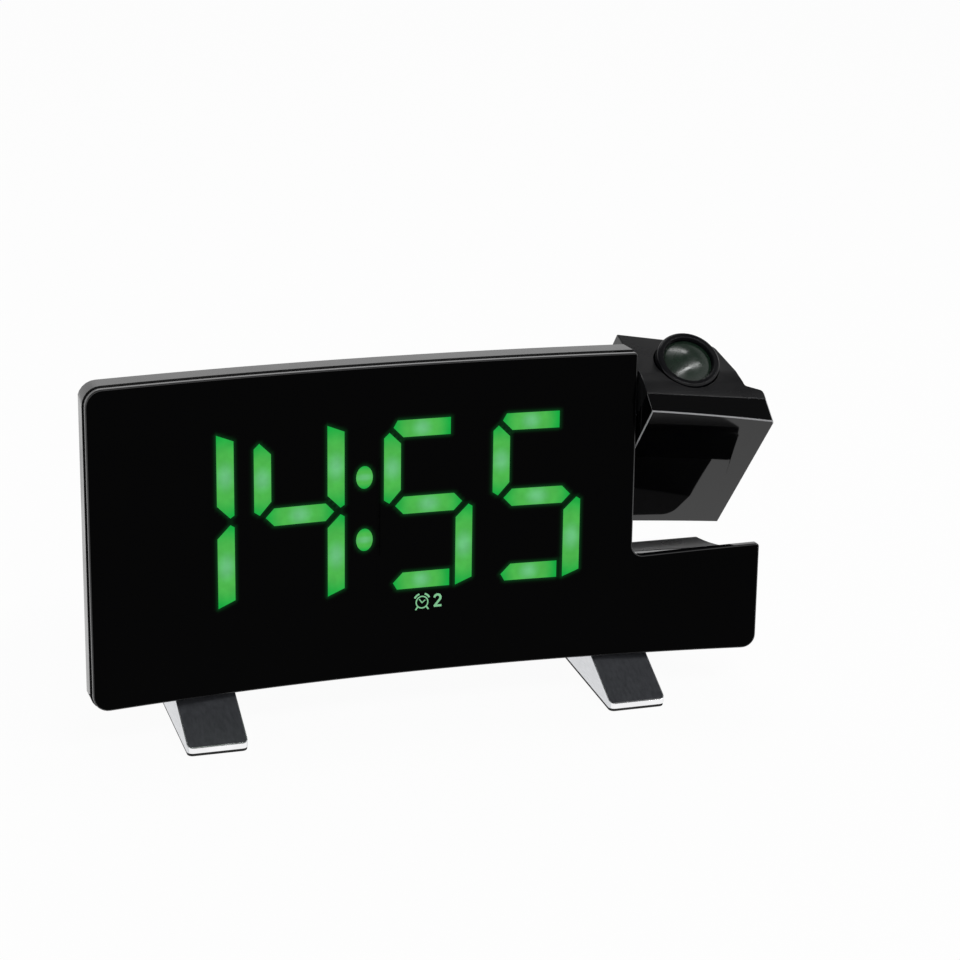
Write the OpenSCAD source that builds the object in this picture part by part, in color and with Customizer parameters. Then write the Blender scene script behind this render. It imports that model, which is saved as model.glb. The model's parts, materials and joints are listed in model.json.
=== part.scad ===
// Projection alarm clock: a curved display panel on two wedge feet, with a
// projector head that swivels in a notch at the panel's upper right corner.
// Millimetres. X runs along the panel, -Y is towards the viewer, +Z is up.
// The clock is first drawn upright around the centre of the panel's front
// face, and clock() then leans it back and stands it on its feet.

/* [Panel] */
// Width of the front panel, straight across its ends
panel_w = 186; // [184:1:190]
// Height of the front panel
panel_h = 85.6; // [84:0.2:88]
// Radius that the panel is bent to, hollow towards the viewer
panel_r = 590; // [560:10:640]
// Thickness of the glossy front sheet
sheet_t = 2; // [1.6:0.1:2.2]
// Depth of the rim, from the sheet's face to the rim's back edge
rim_depth = 10.2; // [9.5:0.1:11]
// How far the rim stands out round the sheet's edge
rim_proud = 0.4; // [0.2:0.1:0.5]
// How far the whole clock leans back, in degrees
lean_deg = 5; // [4:0.5:6]
// Radius of the panel's left corners
corner_r = 4.5; // [3:0.5:6]
// Distance from the panel's centre line to the notch
notch_x = 57; // [56.5:0.1:57.2]

/* [Housing] */
// Wall of the mouldings
wall = 2; // [1.8:0.1:2.2]
// Distance from the face's centre to the housing's flat back
back_y = 30.5; // [30:0.5:32]
// Half the width of the housing where it meets the rim
body_half_w = 89; // [88:0.5:90]
// How far the side walls draw in for each millimetre to the back
side_draft = 0.36; // [0.3:0.02:0.4]
// Half the width of the flat part of the back
flat_half_w = 45; // [44:1:46]
// Slope of the back's tapered ends
taper = 0.217; // [0.2:0.01:0.24]
// Height of the housing's top above the face's centre
body_top = 34.5; // [34:0.5:35]
// Depth of the housing's bottom below the face's centre
body_bottom = 38.5; // [38:0.5:39]

/* [Display] */
// Width of one digit
digit_w = 24.7; // [24:0.1:25]
// Half the height of one digit
digit_half_h = 23.4; // [22:0.1:24]
// Height of the digits' centre row above the face's centre
digit_row = 4.5; // [3:0.1:5]
// Width of a segment's bar
bar = 4.65; // [4.2:0.05:4.8]
// Left edges of the four digits
digit_x = [-78.9, -48.8, -13.2, 17.1]; // list
// Place of the two dots between hours and minutes
colon_x = -18.6; // [-19:0.1:-18]

/* [Projector head] */
// How far the head is turned forward from upright in the rest pose
head_open = 42.5; // [30:0.5:47]
// Depth of the swivel's axis behind the face's centre
pivot_y = 10.5; // [10:0.5:11]
// Height of the swivel's axis above the face's centre
pivot_z = 23.5; // [23:0.5:24]
// Radius of the scoop that the head swings in
scoop_r = 40; // [39.8:0.1:40.4]
// Distance from the face's centre to the scoop's back edge
scoop_back = 15.3; // [15:0.1:15.6]
// Radius of the head's own rounded lower end
heel_r = 38.9; // [38.8:0.1:39.1]
// Gap between the head's side and the notch
head_gap = 0.6; // [0.5:0.1:0.8]
// Height of the head's upper left corner
head_top = 43.2; // [42.8:0.1:43.6]
// Fall of the head's upper end towards the right, in degrees
head_fall = 3.8; // [3:0.2:4]
// Slope of the shell's top behind its ledge, in degrees
brow_deg = 21.1; // [18:0.1:22]
// Distance behind the face of the seam at the left end of the glossy cover
cover_seam = 3; // [2.8:0.1:3.2]
// Centre of the lens, across and behind the face
lens_x = 72.85; // [72.65:0.05:73.05]
lens_y = 13.55; // [13.35:0.05:13.75]
// Height of the focus ring's front face
ring_top = 42.7; // [42.5:0.1:43.1]
// Outer radius of the focus ring
ring_r = 8.85; // [8.8:0.05:9]
// Radius of the opening in front of the lens
lens_open_r = 6.7; // [6.5:0.1:6.8]

/* [Swivel] */
// Radius of the hollow shaft that the head turns on
shaft_r = 2.9; // [2.8:0.05:3]
// Running clearance of turning parts, on the radius
run_gap = 0.05; // [0.03:0.01:0.08]

/* [Buttons] */
// Width and height of a rear button
button_w = 9; // [8:0.5:10]
button_h = 5; // [4:0.5:6]
// Distance between rear buttons
button_pitch = 13; // [12:0.5:13.5]
// Travel of a rear button
button_travel = 0.8; // [0.6:0.1:0.8]
// Length and depth of the snooze bar
snooze_w = 64; // [50:1:70]
snooze_d = 10; // [8:0.5:10]
// Travel of the snooze bar
snooze_travel = 1; // [0.8:0.1:1]

/* [Feet] */
// Centres of the left and the right foot
foot_x = [-62.15, 54.9]; // list
// Width of a foot
foot_w = 16.2; // [15.4:0.2:16.8]
// How far the toe stands in front of the face's centre
toe_y = 20; // [18:0.5:22]
// Height of the polished lip at the toe
lip_h = 1.5; // [1.4:0.1:2.2]
// Slope of the foot's top, in degrees
foot_slope = 23.8; // [22.8:0.2:24.6]
// Height of the face's centre above the floor
centre_h = 52.8; // [52.4:0.1:53.2]
// Thickness of the rubber sole that shows below the foot
sole_show = 0.8; // [0.6:0.1:1]

/* [Hidden] */
$fn = 64;
ARC_FN = 720;

far = 120;                    // longer than anything it cuts
half_w = panel_w / 2;
half_h = panel_h / 2;
right_corner_r = 3.8;         // lower right corner of the panel
sharp_r = 0.8;                // corners beside the notch
notch_fillet = 3;
head_x = notch_x + head_gap;  // the head's left side
head_right = half_w - 0.5;    // the glossy cover's right side
shell_proud = 0.4;            // how far the shell stands out beyond it
shell_right = 87.4;           // the narrower shell's right side, at its front
shell_back_x = 84.4;          // and at its back
// where the scoop meets the sheet at the notch's inner and outer end
notch_low = -14.5;
notch_high = -12.3;
seam = 0.4;                   // shadow gap between the sheet and the rim
flange_t = 1.8;               // rear cover's flange inside the rim
flange_in = 2.05;
plate_t = 1.6;                // bezel's plate behind the sheet
notch_drop = 3.1;             // room for the scoop above the rim's hollow
lip_gap = 0.15;
// the clock's middle, front to back, from the toes to the open head's heel
mid_y = 13.481;

// ---------- drawing helpers ----------

function unit(v) = v / norm(v);

// Points of the arc that rounds corner b between a and c.
function round_corner(a, b, c, r, n = 6) =
    let (u = unit(a - b), w = unit(c - b),
         half = acos(max(-1, min(1, u * w))) / 2,
         mid = b + unit(u + w) * r / sin(half),
         p = b + u * r / tan(half) - mid,
         q = b + w * r / tan(half) - mid,
         start = atan2(p[1], p[0]),
         raw = atan2(q[1], q[0]) - start,
         turn = raw > 180 ? raw - 360 : raw < -180 ? raw + 360 : raw)
    [for (k = [0:n]) mid + r * [cos(start + turn * k / n), sin(start + turn * k / n)]];

// Polygon points from a list of corners [x, y, radius].
function rounded(corners) =
    let (n = len(corners))
    [for (i = [0:n - 1])
        let (a = corners[(i + n - 1) % n], b = corners[i], c = corners[(i + 1) % n])
        each b[2] > 0
            ? round_corner([a[0], a[1]], [b[0], b[1]], [c[0], c[1]], b[2])
            : [[b[0], b[1]]]];

// A flat outline drawn across and up, carried from front to back.
module front_to_back(y0 = -far, y1 = far)
    translate([0, y1, 0]) rotate([90, 0, 0]) linear_extrude(y1 - y0) children();

// A side view drawn front-to-back and up, carried from x0 to x1.
module left_to_right(x0, x1)
    translate([x0, 0, 0]) rotate([90, 0, 90]) linear_extrude(x1 - x0) children();

// A plan drawn across and back, carried from z0 to z1.
module bottom_to_top(z0 = -far, z1 = far)
    translate([0, 0, z0]) linear_extrude(z1 - z0) children();

// Everything in front of the surface that lies depth behind the panel's face.
module in_front_of(depth)
    translate([0, -panel_r, -far]) cylinder(r = panel_r + depth, h = 2 * far, $fn = ARC_FN);

// A rod along X about (y, z).
module rod_x(y, z, r, x0, x1)
    translate([x0, y, z]) rotate([0, 90, 0]) cylinder(r = r, h = x1 - x0);

// A rod along Y about (x, z).
module rod_y(x, z, r, y0, y1)
    translate([x, y1, z]) rotate([90, 0, 0]) cylinder(r = r, h = y1 - y0);

// Box given by its lowest and highest corners.
module block(low, high)
    translate(low) cube(high - low);

// Stands the upright clock on the floor, leaning back.
module stand() translate([0, -mid_y, centre_h]) children();
module clock() stand() rotate([-lean_deg, 0, 0]) children();

// Turns the closed head forward about the swivel.
module head()
    clock() translate([0, pivot_y, pivot_z]) rotate([head_open, 0, 0])
        translate([0, -pivot_y, -pivot_z]) children();

// ---------- outlines ----------

// The panel's outline, inset all round, with the notch's floor lowered by drop
// and every side but the notch's moved out by proud.
module panel_outline(inset = 0, drop = 0, proud = 0) {
    w = half_w - inset + proud;
    h = half_h - inset + proud;
    r = proud - inset / 2;
    polygon(rounded([
        [-w, -h, corner_r + r],
        [w, -h, right_corner_r + r],
        [w, notch_high - inset - drop, sharp_r],
        [notch_x - inset, notch_low - inset - drop, notch_fillet],
        [notch_x - inset, h, sharp_r],
        [-w, h, corner_r + r]]));
}

// The rim's block: its two ends draw in slightly towards the back.
rim_front = -5;
rim_draft = 0.04;
module rim_block()
    intersection() {
        front_to_back(-20, 20) panel_outline(0, 0, rim_proud);
        in_front_of(rim_depth);
        bottom_to_top() {
            w = half_w + rim_proud;
            polygon([[-w, -20], [w, -20], [w, rim_front], [w - rim_draft * 20, rim_front + 20],
                     [-w + rim_draft * 20, rim_front + 20], [-w, rim_front]]);
        }
    }

// The space that the head swings in, grown by g.
module swing_space(g = 0) {
    lip = pivot_z - sqrt(pow(scoop_r, 2) - pow(scoop_back - pivot_y, 2));
    rod_x(pivot_y, pivot_z, scoop_r + g, notch_x - 0.4 - g, far);
    left_to_right(notch_x - 0.4 - g, far)
        polygon([[scoop_back - g, lip - g], [26 - g, -27 - g], [far, -27 - g], [far, far],
                 [scoop_back - g, far]]);
}

// Half the housing's width at distance y, and where the tapered back begins.
function side_at(y) = body_half_w - side_draft * (y - 1);
side_end = (back_y - taper * (body_half_w + side_draft - flat_half_w)) / (1 - taper * side_draft);

// The rear body as a solid, inset all round.
module rear_body(inset = 0)
    intersection() {
        bottom_to_top() polygon(rounded([
            [-side_at(-20) + inset, -20, 0], [side_at(-20) - inset, -20, 0],
            [side_at(side_end) - inset, side_end - inset, 5 - inset],
            [flat_half_w, back_y - inset, 30], [-flat_half_w, back_y - inset, 30],
            [-side_at(side_end) + inset, side_end - inset, 5 - inset]]));
        left_to_right(-far, far) polygon(rounded([
            [-far, -body_bottom + inset, 0], [back_y - inset, -body_bottom + inset, 3.5 - inset],
            [back_y - inset, body_top - 5 - inset, 6 - inset], [22, body_top - inset, 6],
            [-far, body_top - inset, 0]]));
    }

// ---------- display layout ----------

// One segment of a digit, drawn from the digit's left edge and centre row.
// Names follow the usual order: a top, b and c right, d bottom, e and f left,
// g middle. The lower half mirrors the upper half.
TOP_A = [[3.7, 0], [18.4, 0], [18.4, -bar], [5.3, -bar], [2.6, -1.9]];
RIGHT_B = [[digit_w - bar, 0], [digit_w, -1.9], [digit_w, -21.8], [digit_w - 1.1, -22.5],
           [digit_w - bar, -19]];
LEFT_F = [[1.5, -3.2], [bar, -6.3], [bar, -19.1], [1.5, -22.6], [0, -21.6], [0, -4.6]];
MIDDLE_G = [[5.4, 2.4], [19.5, 2.4], [21.8, 0], [19.5, -2.4], [5.4, -2.4], [3.1, 0]];

function raised(points, up) = [for (p = points) [p[0], up * (digit_half_h + p[1])]];

function segment(name) =
    name == "a" ? raised(TOP_A, 1) : name == "d" ? raised(TOP_A, -1) :
    name == "b" ? raised(RIGHT_B, 1) : name == "c" ? raised(RIGHT_B, -1) :
    name == "f" ? raised(LEFT_F, 1) : name == "e" ? raised(LEFT_F, -1) : MIDDLE_G;

module all_segments()
    for (i = [0:3], s = i == 0 ? ["b", "c"] : ["a", "b", "c", "d", "e", "f", "g"])
        translate([digit_x[i], digit_row]) polygon(segment(s));

module colon_dots()
    for (z = [13.1, -4.1]) translate([colon_x, z]) circle(r = 2.6, $fn = 24);

// Middle of a segment, for its lamp.
function segment_mid(s) =
    s == "a" ? [10.5, 21] : s == "d" ? [10.5, -21] : s == "g" ? [12.4, 0] :
    s == "b" ? [22.4, 11.5] : s == "c" ? [22.4, -11.5] :
    s == "f" ? [2.3, 10.5] : [2.3, -10.5];

guide_box = [[-82, -29], [45.4, 30.7]];  // light guide, across and up
guide_back = 9.2;
board_t = 1.2;
window_back = 4.6;                       // depth of the windows' back
symbol_box = [[-5.6, -26.6], [4, -20.4]];

// ---------- clock body ----------

module front_panel()
    color([0.02, 0.02, 0.025]) clock()
    difference() {
        intersection() {
            front_to_back(-20, 20) panel_outline();
            in_front_of(sheet_t);
        }
        in_front_of(0);
    }

screw_at = [[-76, -33], [-38, -33], [76, -33], [50.5, 12]];
boss_r = 2.6;
boss_back = 17;

module front_bezel()
    color([0.16, 0.16, 0.17]) clock()
    difference() {
        union() {
            rim_block();
            for (s = screw_at) rod_y(s[0], s[1], boss_r, 0, boss_back);
        }
        in_front_of(sheet_t);
        // shadow gap round the sheet
        difference() {
            intersection() {
                front_to_back(-20, 20) square(2 * far, center = true);
                in_front_of(sheet_t + seam);
            }
            front_to_back(-20, 20) panel_outline(seam);
        }
        // hollow behind the plate
        difference() {
            front_to_back(-20, 20) panel_outline(1.8, notch_drop);
            in_front_of(sheet_t + plate_t);
            for (s = screw_at) rod_y(s[0], s[1], boss_r, -20, 20);
        }
        // window that the light guide looks through
        front_to_back(-20, 8)
            translate([guide_box[0][0] + 2, guide_box[0][1] + 2])
                square([guide_box[1][0] - guide_box[0][0] - 4, guide_box[1][1] - guide_box[0][1] - 4]);
        for (s = screw_at) rod_y(s[0], s[1], 1.1, 6, 20);
        // the scoop under the head, and room for the swivel's bush
        rod_x(pivot_y, pivot_z, scoop_r, notch_x - 0.01, far);
        rod_x(pivot_y, pivot_z, shaft_r + 1.3, notch_x - 6, far);
    }

// Sound slots over the speaker
speaker_at = [-26, -2];
speaker_r = 14;
socket_at = [-60, -26];
socket_r = 2.9;
usb_at = [-5, -29.5];
usb_size = [14.4, 7.8];
buttons_z = 18;
buttons_x0 = -36;
door_box = [[10, -36.2], [48.2, -15]];  // battery door, across and up
door_open_x = 53;                       // where the tapered back ends its track
door_t = 1.3;
cell_at = [27, -25.3];
cell_y = [24.6, 27.8];  // front and back of the coin cell
snooze_y = 19;

module sound_slots()
    for (i = [-3:3])
        let (h = 2 * sqrt(pow(speaker_r - 2, 2) - pow(i * 3.4, 2)))
        block([speaker_at[0] + i * 3.4 - 0.8, back_y - 4, speaker_at[1] - h / 2],
              [speaker_at[0] + i * 3.4 + 0.8, back_y + 1, speaker_at[1] + h / 2]);

// Rounded bar outline, centred.
module pill(w, h) {
    square([w - h, h], center = true);
    for (s = [-1, 1]) translate([s * (w - h) / 2, 0]) circle(d = h);
}

post_at = [[-70, 12], [2, 9], [-70, -24], [2, -20]];
foot_screw_y = 14;
foot_screw_x = [foot_x[0], foot_x[1] - 0.6];
switch_plane = 22;  // back of the switch board
board_back = 15.4;

// The whole housing behind the rim; it is moulded in two pieces.
module housing()
    difference() {
        union() {
            difference() {
                union() {
                    difference() {
                        intersection() {
                            front_to_back(-20, 20) panel_outline(flange_in, notch_drop);
                            in_front_of(rim_depth + 0.2);
                        }
                        in_front_of(rim_depth - flange_t);
                    }
                    difference() {
                        rear_body();
                        in_front_of(rim_depth);
                    }
                }
                difference() {
                    rear_body(wall + 0.4);
                    swing_space(wall);
                }
            }
            intersection() {
                union() {
                    // posts for the main board and the switch board
                    for (p = post_at) rod_y(p[0], p[1], 2.5, board_back, far);
                    for (x = [-44.5, 37.5]) rod_y(x, buttons_z, 2.2, switch_plane, far);
                    // beds for the snooze switch board
                    for (x = [-14, 14]) block([x - 1.5, 14, 25.2], [x + 1.5, far, 26.4]);
                    // posts for the foot screws
                    for (x = foot_screw_x) translate([x, foot_screw_y, -far]) cylinder(r = 2.6, h = far - 31);
                }
                rear_body(0.8);
            }
            // screw wells
            for (s = screw_at) intersection() {
                rod_y(s[0], s[1], 3.6, boss_back, far);
                rear_body();
            }
        }
        swing_space();
        in_front_of(rim_depth - flange_t);
        sound_slots();
        for (s = screw_at) {
            rod_y(s[0], s[1], 1.4, 0, far);
            rod_y(s[0], s[1], 2.7, boss_back + 2, far);
        }
        for (x = foot_screw_x) translate([x, foot_screw_y, -far]) cylinder(r = 1.1, h = far - 32);
        // swivel bush
        rod_x(pivot_y, pivot_z, shaft_r + 1, notch_x - 6, far);
        // rear button holes
        for (i = [0:5])
            front_to_back(back_y - 4, far)
                translate([buttons_x0 + i * button_pitch, buttons_z])
                    pill(button_w + 0.3, button_h + 0.3);
        // snooze bar hole
        bottom_to_top(body_top - 5.5, far)
            translate([0, snooze_y]) pill(snooze_w + 0.4, snooze_d + 0.4);
        // power socket and charging port
        rod_y(socket_at[0], socket_at[1], 4.6, 20, far);
        block([usb_at[0] - usb_size[0] / 2 - 0.2, 20, usb_at[1] - usb_size[1] / 2 - 0.2],
              [usb_at[0] + usb_size[0] / 2 + 0.2, far, usb_at[1] + usb_size[1] / 2 + 0.2]);
        // battery door's track, open at its right end
        block([door_box[0][0], back_y - 0.6, door_box[0][1] + 0.8], [door_open_x, far, door_box[1][1] - 0.8]);
        block([door_box[0][0], back_y - door_t - 0.1, door_box[0][1]],
              [door_open_x, back_y - 0.6, door_box[1][1]]);
        rod_y(cell_at[0], cell_at[1], 10.3, 20, back_y - door_t);
    }

housing_split = notch_x + 0.2;

module rear_cover()
    color([0.13, 0.13, 0.14]) clock()
    intersection() {
        housing();
        block([-far, -far, -far], [housing_split - 0.02, far, far]);
    }

// The housing's end below the head, with the scoop that the head swings in
module side_housing()
    color([0.12, 0.12, 0.13]) clock()
    intersection() {
        housing();
        block([housing_split + 0.02, -far, -far], [far, far, far]);
    }

module light_guide()
    color([0.92, 0.92, 0.9]) clock()
    difference() {
        front_to_back(-20, guide_back)
            translate(guide_box[0]) square(guide_box[1] - guide_box[0]);
        in_front_of(sheet_t + plate_t + 0.03);
        front_to_back(-20, 20) { all_segments(); colon_dots(); }
        front_to_back(-20, 20) translate(symbol_box[0]) square(symbol_box[1] - symbol_box[0]);
    }

// The windows' outlines, held between two depths behind the face.
module window_slice(back)
    difference() {
        intersection() {
            front_to_back(-20, 20) children();
            in_front_of(back);
        }
        in_front_of(sheet_t);
    }

module digit_windows()
    color([0.3, 0.75, 0.35]) clock()
    window_slice(window_back) { all_segments(); colon_dots(); }

module symbol_window()
    color([0.3, 0.75, 0.35]) clock()
    window_slice(window_back)
        translate(symbol_box[0]) square(symbol_box[1] - symbol_box[0]);

module display_board()
    color([0.05, 0.3, 0.15]) clock()
    block([guide_box[0][0], guide_back, guide_box[0][1]],
          [guide_box[1][0], guide_back + board_t, guide_box[1][1]]);

lamp_size = [1.6, 0.8];

module lamp_at(x, z)
    block([x - lamp_size[0] / 2, guide_back - lamp_size[1], z - lamp_size[0] / 2],
          [x + lamp_size[0] / 2, guide_back, z + lamp_size[0] / 2]);

module segment_lamps()
    color([0.95, 0.9, 0.5]) clock() {
        for (i = [0:3], s = i == 0 ? ["b", "c"] : ["a", "b", "c", "d", "e", "f", "g"])
            lamp_at(digit_x[i] + segment_mid(s)[0], digit_row + segment_mid(s)[1]);
        for (z = [13.1, -4.1]) lamp_at(colon_x, z);
        lamp_at(-3, -23.5);
        lamp_at(2, -23.5);
    }

module main_board()
    color([0.05, 0.3, 0.15]) clock()
    difference() {
        block([-74, board_back - 1.6, -28], [6, board_back, 17]);
        for (p = post_at) rod_y(p[0], p[1], 1, 0, far);
    }

module board_parts()
    color([0.08, 0.08, 0.09]) clock() {
        block([-14, board_back - 3, -4], [-2, board_back - 1.6, 8]);       // controller
        block([-58, board_back - 2.8, 4], [-51, board_back - 1.6, 9]);     // radio
        for (x = [-66, -60]) rod_y(x, -10, 2, board_back, board_back + 6); // capacitors
        block([-70, board_back, 2], [-62, board_back + 4, 6]);             // connector
    }

module power_socket()
    color([0.06, 0.06, 0.06]) clock() {
        difference() {
            union() {
                rod_y(socket_at[0], socket_at[1], 4.4, 17, 27.6);
                block([socket_at[0] - 4.5, board_back, socket_at[1] - 4],
                      [socket_at[0] + 4.5, 20, socket_at[1] + 4.4]);
            }
            rod_y(socket_at[0], socket_at[1], socket_r, 18.5, 28);
        }
    }

module usb_port()
    color([0.75, 0.76, 0.78]) clock() {
        w = usb_size[0] / 2;
        h = usb_size[1] / 2;
        difference() {
            block([usb_at[0] - w, board_back, usb_at[1] - h], [usb_at[0] + w, back_y - 0.4, usb_at[1] + h]);
            block([usb_at[0] - w + 0.5, board_back + 1, usb_at[1] - h + 0.5],
                  [usb_at[0] + w - 0.5, far, usb_at[1] + h - 0.5]);
        }
        // contact tongue
        block([usb_at[0] - 5.8, board_back + 0.5, usb_at[1] + 2.1],
              [usb_at[0] + 5.8, back_y - 2, usb_at[1] + 3]);
    }

module speaker()
    color([0.2, 0.2, 0.22]) clock()
    difference() {
        union() {
            rod_y(speaker_at[0], speaker_at[1], 7, 18.4, 21);
            rod_y(speaker_at[0], speaker_at[1], speaker_r, 21, 27.6);
        }
        // open cone behind the slots
        translate([speaker_at[0], 27.7, speaker_at[1]]) rotate([90, 0, 0])
            cylinder(r1 = speaker_r - 1.5, r2 = 4, h = 4);
    }

module speaker_ring()
    color([0.1, 0.1, 0.1]) clock()
    difference() {
        rod_y(speaker_at[0], speaker_at[1], speaker_r + 1.6, 23, back_y - 2.4);
        rod_y(speaker_at[0], speaker_at[1], speaker_r, 0, far);
    }

module cell_holder()
    color([0.08, 0.08, 0.08]) clock()
    difference() {
        intersection() {
            block([cell_at[0] - 12, cell_y[0] - 1.5, -far],
                  [cell_at[0] + 12, cell_y[1], cell_at[1] + 8]);
            rear_body(wall + 0.45);
        }
        rod_y(cell_at[0], cell_at[1], 10.1, cell_y[0], far);
    }

module backup_cell()
    color([0.8, 0.8, 0.82]) clock() {
        rod_y(cell_at[0], cell_at[1], 10, cell_y[0] + 0.6, cell_y[1]);
        rod_y(cell_at[0], cell_at[1], 8.6, cell_y[0], cell_y[0] + 0.6);
    }

module button_board()
    color([0.05, 0.3, 0.15]) clock()
    block([-47.5, switch_plane - board_t, buttons_z - 5], [40.5, switch_plane, buttons_z + 5]);

module button_switches()
    color([0.7, 0.7, 0.72]) clock()
    for (i = [0:5]) let (x = buttons_x0 + i * button_pitch) {
        block([x - 3, switch_plane, buttons_z - 3], [x + 3, switch_plane + 2, buttons_z + 3]);
        rod_y(x, buttons_z, 1.5, switch_plane + 2, switch_plane + 3);
    }

// Board with one switch under the snooze bar
module snooze_board()
    color([0.05, 0.3, 0.15]) clock() {
        block([-18, 14.2, 26.4], [18, 23.8, 27.4]);
        block([-3, 16, 27.4], [3, 22, 29.2]);
        translate([0, snooze_y, 29.2]) cylinder(r = 1.5, h = 0.8);
    }

bush_flange_r = 4.5;
bush_x = [53.4, notch_x - 0.4 - wall, notch_x + 0.3];

module pivot_bush()
    color([0.85, 0.82, 0.74]) clock()
    difference() {
        union() {
            rod_x(pivot_y, pivot_z, shaft_r + 1, bush_x[0], bush_x[2]);
            rod_x(pivot_y, pivot_z, bush_flange_r, bush_x[0], bush_x[1]);
        }
        rod_x(pivot_y, pivot_z, shaft_r + run_gap, 0, far);
    }

module wave_washer()
    color([0.7, 0.7, 0.72]) clock()
    difference() {
        rod_x(pivot_y, pivot_z, bush_flange_r, 52.7, bush_x[0]);
        rod_x(pivot_y, pivot_z, shaft_r + 0.2, 0, far);
    }

// Pan-head screw along Y, driven from behind, with a cross slot.
module screw_y(x, z, y_head, length, r = 1, head_r = 2.3)
    difference() {
        union() {
            rod_y(x, z, r, y_head - length, y_head);
            rod_y(x, z, head_r, y_head, y_head + 1.4);
        }
        for (a = [0, 90])
            translate([x, y_head + 1.4, z]) rotate([0, a, 0]) cube([2.6, 1.4, 0.6], center = true);
    }

module cover_screws()
    color([0.6, 0.6, 0.62]) clock()
    for (s = screw_at) screw_y(s[0], s[1], boss_back + 2, 9);

// ---------- battery door and buttons ----------

module battery_door()
    color([0.13, 0.13, 0.14]) clock()
    difference() {
        intersection() {
            union() {
                block([door_box[0][0] + lip_gap, back_y - door_t, door_box[0][1] + 0.8 + lip_gap],
                      [door_box[1][0], far, door_box[1][1] - 0.8 - lip_gap]);
                // tongues that run in the track
                block([door_box[0][0] + lip_gap, back_y - door_t, door_box[0][1] + lip_gap],
                      [door_box[1][0], back_y - 0.6 - lip_gap, door_box[1][1] - lip_gap]);
            }
            rear_body();
        }
        // finger ridges
        for (i = [0:4])
            block([door_box[0][0] + 5 + i * 2, back_y - 0.5, cell_at[1] - 6],
                  [door_box[0][0] + 6 + i * 2, far, cell_at[1] + 6]);
    }

snooze_low = body_top - 3.7;

module snooze_bar()
    color([0.1, 0.1, 0.11]) clock()
    difference() {
        union() {
            bottom_to_top(snooze_low, body_top + 1.4)
                translate([0, snooze_y]) pill(snooze_w, snooze_d);
            // flange that stops it from lifting out
            bottom_to_top(snooze_low, body_top - wall - 0.5)
                intersection() {
                    translate([0, snooze_y - 1.2]) pill(snooze_w + 4, snooze_d + 0.6);
                    translate([-far, 0]) square([2 * far, 19.6]);
                }
        }
        difference() {
            bottom_to_top(0, body_top - 1) translate([0, snooze_y]) pill(snooze_w - 4, snooze_d - 4);
            // post over the switch
            translate([0, snooze_y, 30.1 + snooze_travel]) cylinder(r = 2, h = 9);
        }
    }

inner_back = back_y - wall - 0.4;              // inside of the flat back
button_tip = switch_plane + 3.1 + button_travel;

module rear_button(i)
    color([0.22, 0.22, 0.23]) clock()
    translate([buttons_x0 + i * button_pitch, 0, buttons_z]) {
        front_to_back(button_tip, back_y + 1.2) pill(button_w, button_h);
        front_to_back(inner_back - 1.1, inner_back - 0.1) pill(button_w + 2, button_h + 2);
    }

module time_button() rear_button(0);
module alarm_button() rear_button(1);
module down_button() rear_button(2);
module up_button() rear_button(3);
module projector_button() rear_button(4);
module dimmer_button() rear_button(5);

// ---------- feet ----------

// Height of the housing's leaning underside at distance y, before standing.
function underside(y) = -(body_bottom + y * sin(lean_deg)) / cos(lean_deg);

sole_top = -centre_h + sole_show + 0.5;
foot_low = -centre_h + sole_show;
bezel_back = 4.9;              // just behind the rim
heel_y = 24;
plate_skin = 0.7;
plate_front = 0.5;             // the polished strip left in front of the plate
// height just under the rim's leaning lower edge, and where the ramp meets it
function tuck(y) = -(half_h + rim_proud + 0.1 + y * sin(lean_deg)) / cos(lean_deg);
ramp_y = (tuck(0) - foot_low - lip_h - toe_y * tan(foot_slope)) / (tan(foot_slope) + tan(lean_deg));
plate_in = 0.35;               // the plate's inset from the foot's sides
toe_r = 1.6;                   // rounding of the toe's corners, seen from above

function ramp(y) = foot_low + lip_h + (y + toe_y) * tan(foot_slope);

// Side view of a foot.
module foot_side()
    polygon([[-toe_y, foot_low], [heel_y, foot_low], [heel_y, underside(heel_y)],
             [bezel_back, underside(bezel_back)], [bezel_back, tuck(bezel_back)],
             [ramp_y, ramp(ramp_y)], [-toe_y, ramp(-toe_y)]]);

// Side view of the plate, carried on above the ramp by up.
module plate_side(up = 0) {
    y0 = plate_front - toe_y;
    polygon([[y0, ramp(y0) - plate_skin], [ramp_y - 0.4, ramp(ramp_y - 0.4) - plate_skin],
             [ramp_y - 0.4, ramp(ramp_y - 0.4) + up], [y0, ramp(y0) + up]]);
}

// Plan of a foot with rounded toe corners, inset all round.
module foot_plan(i, inset = 0)
    bottom_to_top() polygon(rounded([
        [foot_x[i] - foot_w / 2 + inset, -toe_y + inset, toe_r - inset],
        [foot_x[i] + foot_w / 2 - inset, -toe_y + inset, toe_r - inset],
        [foot_x[i] + foot_w / 2 - inset, heel_y - inset, 0],
        [foot_x[i] - foot_w / 2 + inset, heel_y - inset, 0]]));

// Stands a screw's seat under the leaning housing, with up along the screw.
module foot_screw_frame(i)
    rotate([-lean_deg, 0, 0]) translate([foot_screw_x[i], foot_screw_y, -body_bottom - 3]) children();

module foot(i)
    color([0.75, 0.76, 0.78]) stand()
    difference() {
        intersection() {
            left_to_right(foot_x[i] - foot_w / 2, foot_x[i] + foot_w / 2) foot_side();
            foot_plan(i);
        }
        foot_plate_body(i, 1);
        block([foot_x[i] - foot_w / 2 + 1.2, -toe_y + 1.2, -far],
              [foot_x[i] + foot_w / 2 - 1.2, heel_y - 1.2, sole_top]);
        foot_screw_frame(i) {
            cylinder(r = 1.3, h = 20);
            translate([0, 0, -20]) cylinder(r = 2.8, h = 20);
        }
    }

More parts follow.
